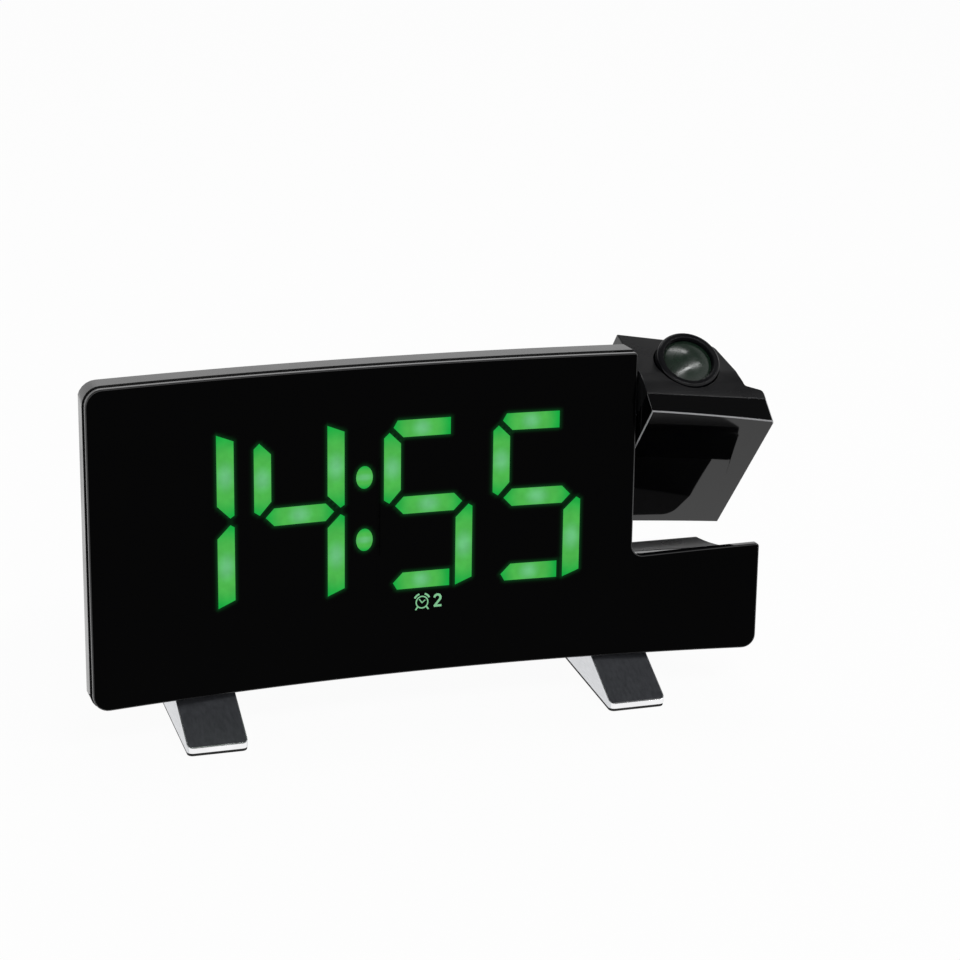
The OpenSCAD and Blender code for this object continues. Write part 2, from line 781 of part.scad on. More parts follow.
// The plate lies in a shallow bed on the ramp.
module foot_plate_body(i, up = 0)
    intersection() {
        left_to_right(foot_x[i] - foot_w / 2, foot_x[i] + foot_w / 2) plate_side(up);
        foot_plan(i, plate_in);
    }

module foot_plate(i)
    color([0.3, 0.31, 0.32]) stand() foot_plate_body(i);

module foot_sole(i)
    color([0.03, 0.03, 0.03]) stand()
    union() {
        intersection() {
            block([foot_x[i] - foot_w / 2, -toe_y, -centre_h], [foot_x[i] + foot_w / 2, heel_y, foot_low]);
            foot_plan(i, 0.1);
        }
        block([foot_x[i] - foot_w / 2 + 1.3, -toe_y + 1.3, -centre_h + 0.2],
              [foot_x[i] + foot_w / 2 - 1.3, heel_y - 1.3, sole_top]);
    }

module left_foot() foot(0);
module right_foot() foot(1);
module left_foot_plate() foot_plate(0);
module right_foot_plate() foot_plate(1);
module left_foot_sole() foot_sole(0);
module right_foot_sole() foot_sole(1);

module foot_screws()
    color([0.6, 0.6, 0.62]) stand()
    for (i = [0:1]) foot_screw_frame(i) {
        translate([0, 0, -1.6]) cylinder(r = 2.3, h = 1.6);
        cylinder(r = 1, h = 9);
    }

// ---------- projector head, drawn closed ----------

// The head's plan: a wing to the full width, and the shell behind it narrower.
module head_plan(inset = 0)
    polygon(rounded([
        [head_x + inset, -far, 0], [head_right + shell_proud - inset, -far, 0],
        [head_right + shell_proud - inset, -0.6, 0],
        [head_right + shell_proud - 0.3 - inset, 2.9 - inset, 2.2 - inset],
        [shell_right - inset, 4.8 - inset, 1],
        [shell_back_x - inset, back_y - taper * (shell_back_x - flat_half_w) - inset, 3 - inset],
        [head_x + inset, back_y - taper * (head_x - flat_half_w) - inset, 0]]));

ledge_y = 6;    // where the flat ledge turns into a slight slope
brow_y = 10.1;  // and where that turns into the steeper top
brow_fall = (brow_y - ledge_y) * tan(9.5);

// What lies above the head's upper end, lowered by inset.
module above_head(inset = 0)
    translate([head_x, 0, head_top - inset]) rotate([0, head_fall, 0])
        left_to_right(-10, far) polygon([[-far, 0], [ledge_y, 0], [brow_y, -brow_fall],
            [far, -brow_fall - (far - brow_y) * tan(brow_deg)], [far, far], [-far, far]]);

// The head's lower end: a drum about the swivel with a rounded left edge.
module heel_drum(inset = 0)
    translate([head_x + inset, pivot_y, pivot_z]) rotate([0, 90, 0])
        rotate_extrude($fn = 180)
            polygon(rounded([[0, 0, 0], [heel_r - inset, 0, 4.5 - inset], [heel_r - inset, 60, 0], [0, 60, 0]]));

// The front view's rounded upper right corner.
module head_corner(inset = 0) {
    x = head_right + shell_proud - inset;
    z = head_top - inset - tan(head_fall) * (head_right + shell_proud - head_x);
    front_to_back(-far, far) polygon(rounded([
        [0, -far, 0], [x, -far, 0], [x, z + 0.05, 2.5 - inset], [0, z + 0.3 * x, 0]]));
}

module head_solid(inset = 0)
    difference() {
        intersection() {
            bottom_to_top() head_plan(inset);
            heel_drum(inset);
            head_corner(inset);
        }
        above_head(inset);
    }

// Everything in front of the straight seam between the cover and the shell.
seam_slope = 0.086;
function seam_at(x) = cover_seam - seam_slope * (x - head_x);
module before_seam()
    bottom_to_top() polygon([[0, -far], [far, -far], [far, seam_at(far)], [0, seam_at(0)]]);

head_wall = 1.8;
lead_r = 1.1;
lead_turn_x = 62.2;
head_screw_at = [[62.8, -6], [81, -6]];
shell_back = back_y - taper * (head_screw_at[1][0] - flat_half_w);

module head_cover()
    color([0.02, 0.02, 0.025]) head() {
        difference() {
            intersection() {
                head_solid();
                before_seam();
                block([0, -far, -far], [head_right, far, far]);
            }
            in_front_of(0);
            difference() {
                intersection() {
                    head_solid(head_wall);
                    in_front_of(far);
                }
                in_front_of(2);
                for (s = head_screw_at) rod_y(s[0], s[1], 2.4, -20, 20);
            }
        }
        difference() {
            for (s = head_screw_at) rod_y(s[0], s[1], 2.4, -4.5, 14);
            for (s = head_screw_at) rod_y(s[0], s[1], 1.1, 6, 20);
            in_front_of(1.9);
        }
    }

tube_r = 8;
lens_seat_z = 40.1;
tube_z = [2, 39.7];

module head_shell()
    color([0.13, 0.13, 0.14]) head()
    difference() {
        union() {
            difference() {
                head_solid();
                head_solid(head_wall);
            }
            for (s = head_screw_at) intersection() {
                rod_y(s[0], s[1], 3.2, 14, far);
                head_solid();
            }
            // web that carries the optics
            difference() {
                intersection() {
                    block([head_x + 1, 4, 6], [shell_right - 1, 28, 8]);
                    head_solid(0.5);
                }
                translate([lead_turn_x, pivot_y, 0]) cylinder(r = 1.6, h = 20);
            }
        }
        before_seam();
        for (s = head_screw_at) {
            rod_y(s[0], s[1], 1.4, 0, far);
            rod_y(s[0], s[1], 2.6, 16, far);
        }
        translate([lens_x, lens_y, 30]) cylinder(r = ring_r + 0.2, h = far);
        translate([lens_x, lens_y, 0]) cylinder(r = tube_r, h = far);
        rod_x(pivot_y, pivot_z, shaft_r, 0, head_x + head_wall + 0.1);
    }

slide_z = 20;
condenser_z = 13;

module optics_tube()
    color([0.05, 0.05, 0.05]) head()
    difference() {
        translate([lens_x, lens_y, tube_z[0]]) cylinder(r = tube_r, h = tube_z[1] - tube_z[0]);
        translate([lens_x, lens_y, -1]) cylinder(r = 4.2, h = 14.1);
        translate([lens_x, lens_y, condenser_z]) cylinder(r = 6, h = 5.1);
        translate([lens_x - 5, lens_y - 5, condenser_z + 5]) cube([10, 10, 4]);
        translate([lens_x, lens_y, slide_z + 1.9]) cylinder(r = 6.4, h = far);
    }

module condenser_lens()
    color([0.8, 0.9, 0.95]) head()
    translate([lens_x, lens_y, condenser_z + 0.1])
        intersection() {
            cylinder(r = 5.9, h = 3.4);
            translate([0, 0, -6.6]) sphere(r = 10);
        }

module image_slide()
    color([0.2, 0.35, 0.3]) head()
    translate([lens_x - 4.9, lens_y - 4.9, condenser_z + 5.2]) cube([9.8, 9.8, 1.6]);

module lamp_board()
    color([0.05, 0.3, 0.15]) head()
    block([head_x + 2.8, lens_y - 7, tube_z[0] - board_t], [lens_x + 7.5, lens_y + 6.6, tube_z[0]]);

module projector_lamp()
    color([0.9, 0.95, 0.9]) head()
    translate([lens_x, lens_y, tube_z[0]]) {
        cylinder(r = 2.9, h = 1);
        cylinder(r = 2.5, h = 5.5);
        translate([0, 0, 5.5]) intersection() {
            sphere(r = 2.5);
            cylinder(r = 3, h = 3);
        }
    }

module head_screws()
    color([0.6, 0.6, 0.62]) head()
    for (s = head_screw_at) screw_y(s[0], s[1], 16, 8);

shaft_end = 49.5;
clip_x = [51.8, 52.6];

module pivot_shaft()
    color([0.7, 0.7, 0.72]) head()
    difference() {
        union() {
            rod_x(pivot_y, pivot_z, shaft_r, shaft_end, head_x + head_wall + 1.2);
            rod_x(pivot_y, pivot_z, 4.4, head_x + head_wall + 0.05, head_x + head_wall + 1.2);
        }
        rod_x(pivot_y, pivot_z, 1.7, 0, far);
        difference() {
            rod_x(pivot_y, pivot_z, shaft_r + 1, clip_x[0], clip_x[1]);
            rod_x(pivot_y, pivot_z, 2.4, clip_x[0], clip_x[1]);
        }
    }

module shaft_clip()
    color([0.6, 0.6, 0.62]) head()
    difference() {
        rod_x(pivot_y, pivot_z, 4.2, clip_x[0] + 0.05, clip_x[1] - 0.05);
        rod_x(pivot_y, pivot_z, 2.4, 0, far);
        block([0, pivot_y - 1.6, pivot_z - 6], [far, pivot_y + 1.6, pivot_z]);
    }

module projector_lead()
    color([0.15, 0.15, 0.15]) head() {
        rod_x(pivot_y, pivot_z, lead_r, shaft_end - 1, lead_turn_x);
        translate([lead_turn_x, pivot_y, pivot_z]) sphere(r = lead_r, $fn = 32);
        translate([lead_turn_x, pivot_y, tube_z[0]]) cylinder(r = lead_r, h = pivot_z - tube_z[0]);
    }

ring_low = 33.5;

module focus_ring()
    color([0.3, 0.3, 0.31]) head()
    translate([lens_x, lens_y, 0])
    rotate_extrude($fn = 96) polygon(rounded([
        [tube_r + run_gap, ring_low, 0], [ring_r, ring_low, 0],
        [ring_r, ring_top, 0.7], [lens_open_r + 0.5, ring_top, 0.2],
        [lens_open_r, ring_top - 1.4, 0], [7.3, ring_top - 1.4, 0],
        [7.3, lens_seat_z, 0], [tube_r + run_gap, lens_seat_z, 0]]));

module projection_lens()
    color([0.75, 0.85, 0.9]) head()
    translate([lens_x, lens_y, lens_seat_z + 0.1])
        union() {
            cylinder(r = 7.25, h = ring_top - 1.5 - lens_seat_z);
            intersection() {
                cylinder(r = lens_open_r - 0.1, h = 6);
                translate([0, 0, -11.2]) sphere(r = 14.2, $fn = 96);
            }
        }

front_panel();
front_bezel();
rear_cover();
light_guide();
digit_windows();
symbol_window();
display_board();
segment_lamps();
main_board();
board_parts();
power_socket();
usb_port();
speaker();
speaker_ring();
cell_holder();
backup_cell();
button_board();
button_switches();
snooze_board();
side_housing();
pivot_bush();
wave_washer();
cover_screws();
foot_screws();
left_foot();
left_foot_plate();
left_foot_sole();
right_foot();
right_foot_plate();
right_foot_sole();
battery_door();
snooze_bar();
time_button();
alarm_button();
down_button();
up_button();
projector_button();
dimmer_button();
head_cover();
head_shell();
optics_tube();
condenser_lens();
image_slide();
projector_lamp();
lamp_board();
head_screws();
pivot_shaft();
shaft_clip();
projector_lead();
focus_ring();
projection_lens();
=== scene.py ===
# %% [markdown]
# # A projection alarm clock
# The clock is a curved black panel on two wedge feet. Green digits shine
# through the panel, and a small projector swivels in a notch at its upper
# right corner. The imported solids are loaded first, as a fixed frame. Each
# visible piece then gets its rounded edges, its finish or its fine detail.

# %% Load the frame
import json
import math

import bmesh
import bpy
from mathutils import Matrix, Vector


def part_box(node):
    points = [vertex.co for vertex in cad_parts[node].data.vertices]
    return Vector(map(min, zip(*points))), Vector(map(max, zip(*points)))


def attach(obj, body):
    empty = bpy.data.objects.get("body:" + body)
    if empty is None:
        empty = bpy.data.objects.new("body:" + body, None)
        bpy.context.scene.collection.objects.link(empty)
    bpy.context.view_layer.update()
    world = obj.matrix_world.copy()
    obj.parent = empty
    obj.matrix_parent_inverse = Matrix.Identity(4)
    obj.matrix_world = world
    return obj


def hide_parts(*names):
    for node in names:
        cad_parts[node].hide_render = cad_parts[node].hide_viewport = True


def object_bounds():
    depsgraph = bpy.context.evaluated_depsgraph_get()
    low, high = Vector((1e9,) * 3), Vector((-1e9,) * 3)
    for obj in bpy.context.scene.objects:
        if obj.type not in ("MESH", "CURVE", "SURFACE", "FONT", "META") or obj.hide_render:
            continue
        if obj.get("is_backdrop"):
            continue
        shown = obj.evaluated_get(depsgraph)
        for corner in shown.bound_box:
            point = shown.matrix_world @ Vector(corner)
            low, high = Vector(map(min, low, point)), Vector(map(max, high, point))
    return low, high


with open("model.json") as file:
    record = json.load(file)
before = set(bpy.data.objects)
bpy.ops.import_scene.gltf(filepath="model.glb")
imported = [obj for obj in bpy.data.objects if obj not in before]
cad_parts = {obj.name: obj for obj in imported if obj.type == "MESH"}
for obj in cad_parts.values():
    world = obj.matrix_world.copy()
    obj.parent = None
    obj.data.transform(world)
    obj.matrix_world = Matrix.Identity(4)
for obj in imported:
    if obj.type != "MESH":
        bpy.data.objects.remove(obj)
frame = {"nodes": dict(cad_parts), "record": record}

cad_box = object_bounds()
nodes = frame["nodes"]

# %% [markdown]
# ## The clock's own frame
# The panel leans back by five degrees, so its sizes are simplest in a frame
# that leans with it: x across, y to the back, z up the panel, from the middle
# of its front face, in millimetres. One function brings such a point into the
# scene. The panel is bent like a piece of a wide drum, hollow to the viewer.

# %% Points on the clock
MM = 0.001
LEAN = math.radians(5)
FACE_CENTRE = Vector((0, -13.481, 52.8))  # from the middle of the footprint
PANEL_R = 590.0
PANEL_W, PANEL_H = 186.0, 85.6

LEANING = Matrix.Translation(FACE_CENTRE) @ Matrix.Rotation(-LEAN, 4, "X")


def on_clock(x, y, z):
    """A point of the leaning clock, in metres in the scene."""
    return LEANING @ Vector((x, y, z)) * MM


def bend(x):
    """How far the face stands back from its middle at x."""
    return -(PANEL_R - math.sqrt(PANEL_R**2 - x * x))


def on_face(x, z, lift=0.0):
    """A point on the panel's face, lifted towards the viewer."""
    return on_clock(x, bend(x) - lift, z)


PIVOT = Vector((0, 10.5, 23.5))
HEADING = (LEANING @ Matrix.Translation(PIVOT) @ Matrix.Rotation(math.radians(42.5), 4, "X")
           @ Matrix.Translation(-PIVOT))


def on_head(x, y, z):
    """A point of the head, given as if the head were shut, in metres in the scene."""
    return HEADING @ Vector((x, y, z)) * MM


print("top left of the face:", on_face(-93, 42.8), "swivel:", on_head(57.6, 10.5, 23.5))

# %% [markdown]
# ## The camera
# The photograph was taken from the left and above with a long lens. Its place
# was solved from the panel's corners, the feet and the scoop, so the same
# pixels should land on the same points of the object.

# %% Camera
TURN, TILT, ROLL = math.radians(-18.934), math.radians(20.511), math.radians(2.492)
EYE = Vector((-192.70, -614.00, 300.49)) * MM
SENSOR_MM, FOCAL_PX, PHOTO_PX = 36, 2534.39, 960

to_eye = Vector((math.sin(TURN) * math.cos(TILT), -math.cos(TURN) * math.cos(TILT), math.sin(TILT)))
side = Vector((math.cos(TURN), math.sin(TURN), 0))
above = to_eye.cross(side)
rolled_side = math.cos(ROLL) * side + math.sin(ROLL) * above
rolled_above = math.cos(ROLL) * above - math.sin(ROLL) * side
turned = Matrix((rolled_side, rolled_above, to_eye)).transposed().to_4x4()

lens = bpy.data.cameras.new("photo_camera")
lens.sensor_width = SENSOR_MM
lens.lens = FOCAL_PX / PHOTO_PX * SENSOR_MM
lens.clip_start, lens.clip_end = 0.01, 50
camera = bpy.data.objects.new("photo_camera", lens)
camera.matrix_world = Matrix.Translation(EYE) @ turned
bpy.context.scene.collection.objects.link(camera)
bpy.context.scene.camera = camera
print("lens", round(lens.lens, 2), "mm at", [round(v, 3) for v in EYE])

# %% [markdown]
# ## Floor, backdrop and lamps
# The photograph has a plain white ground. The floor is a pale sheet that the
# camera sees as nearly white, and it keeps a soft shadow. Four soft lamps and a
# sky that darkens upwards light the object at a plain level, so that a colour
# renders about as it is written, and the black pieces mirror little from above.

# %% Floor
FLOOR_HALF = 6
WHITE_SHARE = 0.95  # the rest is lit paper, which keeps the shadow


def new_tree(name):
    """A material with an empty node tree: returns it, its nodes and links."""
    material = bpy.data.materials.new(name)
    material.use_nodes = True
    tree = material.node_tree
    tree.nodes.clear()
    return material, tree.nodes, tree.links


def pale_floor():
    material, n, link = new_tree("pale_floor")
    out = n.new("ShaderNodeOutputMaterial")
    paper = n.new("ShaderNodeBsdfDiffuse")
    paper.inputs["Color"].default_value = (0.93, 0.93, 0.93, 1)
    white = n.new("ShaderNodeEmission")
    white.inputs["Strength"].default_value = 1.0
    path = n.new("ShaderNodeLightPath")
    seen = path.outputs["Is Camera Ray"]
    for ray in ("Is Glossy Ray", "Is Transmission Ray"):
        either = n.new("ShaderNodeMath")
        either.operation = "MAXIMUM"
        link.new(seen, either.inputs[0])
        link.new(path.outputs[ray], either.inputs[1])
        seen = either.outputs[0]
    share = n.new("ShaderNodeMath")
    share.operation = "MULTIPLY"
    share.inputs[1].default_value = WHITE_SHARE
    link.new(seen, share.inputs[0])
    mix = n.new("ShaderNodeMixShader")
    link.new(share.outputs[0], mix.inputs[0])
    link.new(paper.outputs[0], mix.inputs[1])
    link.new(white.outputs[0], mix.inputs[2])
    link.new(mix.outputs[0], out.inputs["Surface"])
    return material


floor_mesh = bpy.data.meshes.new("floor")
floor_corners = [(x * FLOOR_HALF, y * FLOOR_HALF, 0) for x, y in ((-1, -1), (1, -1), (1, 1), (-1, 1))]
floor_mesh.from_pydata(floor_corners, [], [(0, 1, 2, 3)])
floor = bpy.data.objects.new("floor", floor_mesh)
floor_mesh.materials.append(pale_floor())
bpy.context.scene.collection.objects.link(floor)
floor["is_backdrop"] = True
print("floor laid at z 0")

# %% World and lamps
world = bpy.data.worlds.new("white_room")
world.use_nodes = True
bpy.context.scene.world = world
wn, wl = world.node_tree.nodes, world.node_tree.links
wn.clear()
sky_out = wn.new("ShaderNodeOutputWorld")
sky = wn.new("ShaderNodeBackground")
direction = wn.new("ShaderNodeTexCoord")
split = wn.new("ShaderNodeSeparateXYZ")
fall = wn.new("ShaderNodeValToRGB")
fall.color_ramp.elements[0].position = 0.35
fall.color_ramp.elements[0].color = (1, 1, 1, 1)
fall.color_ramp.elements[1].position = 0.75
fall.color_ramp.elements[1].color = (0.12, 0.12, 0.12, 1)
wl.new(direction.outputs["Generated"], split.inputs[0])
wl.new(split.outputs["Z"], fall.inputs[0])
wl.new(fall.outputs[0], sky.inputs["Color"])
wl.new(sky.outputs[0], sky_out.inputs["Surface"])


def soft_lamp(name, place, aim, size, watts):
    """A square lamp that faces aim. Places are in metres."""
    data = bpy.data.lights.new(name, "AREA")
    data.shape = "RECTANGLE"
    data.size, data.size_y = size
    data.energy = watts
    lamp = bpy.data.objects.new(name, data)
    towards = (Vector(aim) - Vector(place)).to_track_quat("-Z", "Y")
    lamp.matrix_world = Matrix.Translation(place) @ towards.to_matrix().to_4x4()
    bpy.context.scene.collection.objects.link(lamp)
    return lamp


soft_lamp("top_box", (0.2, 0.33, 1.15), (0.05, 0, 0.08), (0.6, 0.14), 2.2)
soft_lamp("back_box", (0.4, 1.15, 0.65), (0, 0, 0.05), (1.2, 0.5), 0.7)
soft_lamp("left_box", (-0.9, -0.1, 0.35), (0, 0, 0.05), (0.5, 0.5), 0.5)
soft_lamp("strip", (0.3, -0.45, 0.85), (0.05, 0, 0.08), (1.0, 0.05), 3)
bpy.context.scene.view_settings.view_transform = "Standard"

# %% [markdown]
# ## Finishes
# Moulded plastic is never one flat colour. Its mould leaves a fine grain, and
# handling leaves slow changes of gloss. Both come from noise that reads the
# piece's own Object coordinates, so the pattern stays on the piece when it
# moves. Each finish is one function with its sizes in millimetres.

# %% Building blocks for finishes
def rgba(colour):
    return (*colour, 1.0)


def principled(name, colour, rough, metallic=0.0, specular=0.5, coat=0.0):
    material, n, link = new_tree(name)
    out = n.new("ShaderNodeOutputMaterial")
    shader = n.new("ShaderNodeBsdfPrincipled")
    shader.inputs["Base Color"].default_value = rgba(colour)
    shader.inputs["Roughness"].default_value = rough
    shader.inputs["Metallic"].default_value = metallic
    shader.inputs["Specular IOR Level"].default_value = specular
    shader.inputs["Coat Weight"].default_value = coat
    link.new(shader.outputs[0], out.inputs["Surface"])
    place = n.new("ShaderNodeTexCoord")
    return material, n, link, shader, place.outputs["Object"]


def noise(n, link, place, size_mm, detail=2.0, stretch=(1, 1, 1)):
    """A noise whose blobs are about size_mm across, stretched along an axis."""
    mapping = n.new("ShaderNodeMapping")
    mapping.inputs["Scale"].default_value = [1000.0 / size_mm / s for s in stretch]
    link.new(place, mapping.inputs["Vector"])
    texture = n.new("ShaderNodeTexNoise")
    texture.inputs["Scale"].default_value = 1.0
    texture.inputs["Detail"].default_value = detail
    link.new(mapping.outputs[0], texture.inputs["Vector"])
    return texture.outputs["Fac"]


def between(n, link, value, low, high, start=0.3, end=0.7):
    """Maps the usual middle of a noise to low..high."""
    span = n.new("ShaderNodeMapRange")
    span.inputs["From Min"].default_value = start
    span.inputs["From Max"].default_value = end
    span.inputs["To Min"].default_value = low
    span.inputs["To Max"].default_value = high
    link.new(value, span.inputs["Value"])
    return span.outputs["Result"]


def tinted(n, link, shader, value, colour, change):
    """Lets the colour drift by the given share with a noise."""
    mix = n.new("ShaderNodeMix")
    mix.data_type = "RGBA"
    mix.inputs[6].default_value = rgba([c * (1 - change) for c in colour])
    mix.inputs[7].default_value = rgba([min(1, c * (1 + change)) for c in colour])
    link.new(value, mix.inputs[0])
    link.new(mix.outputs[2], shader.inputs["Base Color"])


def relief(n, link, shader, value, height_mm, strength=1.0):
    bump = n.new("ShaderNodeBump")
    bump.inputs["Strength"].default_value = strength
    bump.inputs["Distance"].default_value = height_mm * MM
    link.new(value, bump.inputs["Height"])
    link.new(bump.outputs[0], shader.inputs["Normal"])


# %% Plastic, acrylic, rubber
def moulded(name, colour, rough, grain_mm=0.35, height_mm=0.012, drift=0.08, specular=0.5, ior=1.5):
    """Plastic from a grained or satin mould."""
    material, n, link, shader, place = principled(name, colour, rough, specular=specular)
    shader.inputs["IOR"].default_value = ior
    cloudy = noise(n, link, place, 14)
    tinted(n, link, shader, between(n, link, cloudy, 0, 1), colour, drift)
    link.new(between(n, link, cloudy, rough - 0.05, rough + 0.05), shader.inputs["Roughness"])
    relief(n, link, shader, noise(n, link, place, grain_mm, 3), height_mm)
    return material


def polished(name, colour, rough=0.04, specular=0.5, ripple_mm=0.004):
    """Glossy plastic: its gloss changes a little where it was wiped."""
    material, n, link, shader, place = principled(name, colour, rough, specular=specular)
    wiped = noise(n, link, place, 22, 4, (3, 1, 1))
    link.new(between(n, link, wiped, rough * 0.6, rough * 2.2), shader.inputs["Roughness"])
    tinted(n, link, shader, between(n, link, wiped, 0, 1), colour, 0.1)
    relief(n, link, shader, noise(n, link, place, 30, 1), ripple_mm)
    return material


def rubbery(name, colour):
    material, n, link, shader, place = principled(name, colour, 0.75, specular=0.3)
    dust = noise(n, link, place, 3, 5)
    tinted(n, link, shader, between(n, link, dust, 0, 1), colour, 0.25)
    relief(n, link, shader, noise(n, link, place, 0.25, 3), 0.03)
    return material


# %% Metal and glass
def brushed(name, colour, rough, stretch, fine_mm=0.12, metallic=1.0, drift=0.18):
    """Metal or foil with fine straight scratches along its longest stretch."""
    material, n, link, shader, place = principled(name, colour, rough, metallic=metallic)
    lines = noise(n, link, place, fine_mm, 3, stretch)
    tinted(n, link, shader, between(n, link, lines, 0, 1), colour, drift)
    link.new(between(n, link, lines, rough - 0.06, rough + 0.1), shader.inputs["Roughness"])
    relief(n, link, shader, lines, 0.006, 0.6)
    return material


def plated(name, colour, rough=0.12):
    material, n, link, shader, place = principled(name, colour, rough, metallic=1.0)
    haze = noise(n, link, place, 6, 3)
    link.new(between(n, link, haze, rough * 0.7, rough * 1.6), shader.inputs["Roughness"])
    tinted(n, link, shader, between(n, link, haze, 0, 1), colour, 0.05)
    return material


def clear(name, colour, rough=0.01, through=1.0, coat=0.0):
    """Glass of a lens, with a trace of unevenness in its polish."""
    material, n, link, shader, place = principled(name, colour, rough, coat=coat)
    shader.inputs["Coat IOR"].default_value = 2.2
    shader.inputs["Coat Roughness"].default_value = 0.3
    shader.inputs["Transmission Weight"].default_value = through
    shader.inputs["IOR"].default_value = 1.5
    link.new(between(n, link, noise(n, link, place, 5, 2), rough, rough * 3), shader.inputs["Roughness"])
    return material


def glowing(name, colour, strength, base=(0.02, 0.02, 0.02)):
    """A lamp or a lit window."""
    material, n, link, shader, place = principled(name, base, 0.35)
    shader.inputs["Emission Color"].default_value = rgba(colour)
    uneven = between(n, link, noise(n, link, place, 4, 2), strength * 0.85, strength * 1.1)
    link.new(uneven, shader.inputs["Emission Strength"])
    return material


PANEL_BLACK = (0.0003, 0.0003, 0.0004)
finishes = {
    "panel": polished("panel_acrylic", PANEL_BLACK, 0.035, specular=0.022),
    # a darker, duller black on the rim's rounded edges: painted shade lines at its back edge and along the
    # seam
    "bezel_painted_shade": moulded("bezel_painted_shade", (0.003, 0.003, 0.0032), 0.35, 0.2, 0.001, specular=0.1),
    "panel_edge": polished("panel_cut_edge", (0.003, 0.003, 0.0035), 0.1, specular=0.6),
    "bezel": moulded("bezel_satin", (0.01, 0.01, 0.0105), 0.17, 0.2, 0.0008, ior=1.25),
    "housing": moulded("housing_satin", (0.028, 0.028, 0.03), 0.3, 0.3, 0.004, 0.05, specular=0.3),
    "cover": moulded("cover_grained", (0.035, 0.035, 0.037), 0.5, 0.5, 0.025),
    "head_gloss": polished("head_gloss", (0.001, 0.001, 0.0012), 0.03, specular=0.3),
    # a pale grey on the cover's rounded edges: a painted highlight line
    "cover_highlight_paint": moulded("cover_edge_painted_highlight", (0.3, 0.3, 0.31), 0.3, 0.3, 0.002),
    "shell": moulded("head_satin", (0.006, 0.006, 0.0068), 0.3, 0.25, 0.003, specular=0.4, ior=1.35),
    "ring": moulded("ring_satin", (0.0025, 0.0025, 0.0035), 0.26, 0.2, 0.002, specular=0.3, ior=1.4),
    "button": moulded("button_soft", (0.05, 0.05, 0.053), 0.55, 0.3, 0.02),
    "mark": moulded("printed_mark", (0.55, 0.55, 0.55), 0.6, 0.3, 0.004, 0.05),
    "mesh_wire": moulded("dust_mesh", (0.02, 0.02, 0.021), 0.6, 0.2, 0.01),
    "snooze": moulded("snooze_soft", (0.022, 0.022, 0.024), 0.45, 0.3, 0.012),
    "foot": brushed("foot_satin", (0.7, 0.71, 0.73), 0.36, (1, 30, 1)),
    "foot_plate": brushed("foot_dark_brushed", (0.05, 0.053, 0.06), 0.45, (1, 3, 3), 0.7, 0.2, 0.15),
    "lip": plated("foot_lip", (0.93, 0.93, 0.94), 0.08),
    "sole": rubbery("sole_rubber", (0.012, 0.012, 0.012)),
    "steel": plated("plated_steel", (0.6, 0.6, 0.62), 0.25),
    "screw": plated("screw_zinc", (0.45, 0.45, 0.47), 0.3),
    "board": moulded("circuit_board", (0.02, 0.12, 0.05), 0.4, 1.5, 0.02, 0.25),
    "inside_black": moulded("inside_black", (0.012, 0.012, 0.013), 0.5, 0.4, 0.02),
    "inside_white": moulded("guide_white", (0.8, 0.8, 0.77), 0.6, 0.5, 0.02, 0.03),
    "cone": moulded("speaker_paper", (0.03, 0.03, 0.032), 0.8, 0.6, 0.06, 0.2),
    "nylon": moulded("bush_nylon", (0.72, 0.7, 0.62), 0.45, 0.5, 0.01, 0.04),
    "lead": rubbery("lead_sheath", (0.02, 0.02, 0.02)),
    "glass": clear("lens_glass", (0.9, 0.97, 0.95)),
    "front_lens": clear("front_lens_glass", (0.01, 0.03, 0.016), 0.12, 0.5, coat=0.08),
    "slide": glowing("slide_lit", (0.05, 0.85, 0.2), 0.6),
    "lamp": glowing("lamp_lit", (0.3, 1.0, 0.4), 2.0, (0.6, 0.6, 0.5)),
    "window": glowing("window_lit", (0.1, 0.8, 0.25), 0.5),
}
print("finishes:", len(finishes))

# %% [markdown]
# ## Rounded edges
# The solids have dead sharp edges, and nothing moulded does. A copy of the
# solid is merged into clean faces, each sharp edge is bevelled by a fraction
# of a millimetre, and weighted normals keep the flat faces flat. The highlight
# that runs along such an edge is what makes a piece look made. Where edges
# differ in width, a bevel modifier takes them from a weight on each edge, and
# may give the bevel a finish of its own: on the rim that finish paints shade
# lines, and on the head's cover it paints a highlight line.

# %% Rounded copies of solids
def add_piece(name, bm, material, body, replaces=()):
    """Turns a bmesh into a finished piece that rides on a body."""
    mesh = bpy.data.meshes.new(name)
    bm.to_mesh(mesh)
    bm.free()
    for finish in material if isinstance(material, (list, tuple)) else [material]:
        mesh.materials.append(finish)
    piece = bpy.data.objects.new(name, mesh)
    bpy.context.scene.collection.objects.link(piece)
    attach(piece, body)
    if replaces:
        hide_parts(*replaces)
    return piece


def shade(bm, sharp_deg=28):
    for face in bm.faces:
        face.smooth = True
    for edge in bm.edges:
        edge.smooth = len(edge.link_faces) == 2 and edge.calc_face_angle(3) < math.radians(sharp_deg)


def solid_copy(node):
    bm = bmesh.new()
    bm.from_mesh(nodes[node].data)
    bmesh.ops.remove_doubles(bm, verts=bm.verts, dist=3e-6)
    bmesh.ops.dissolve_limit(bm, angle_limit=math.radians(0.08), verts=bm.verts, edges=bm.edges)
    return bm


BODY_OF = {n: b for b, ns in frame["record"]["behaviour"]["bodies"].items() for n in ns}


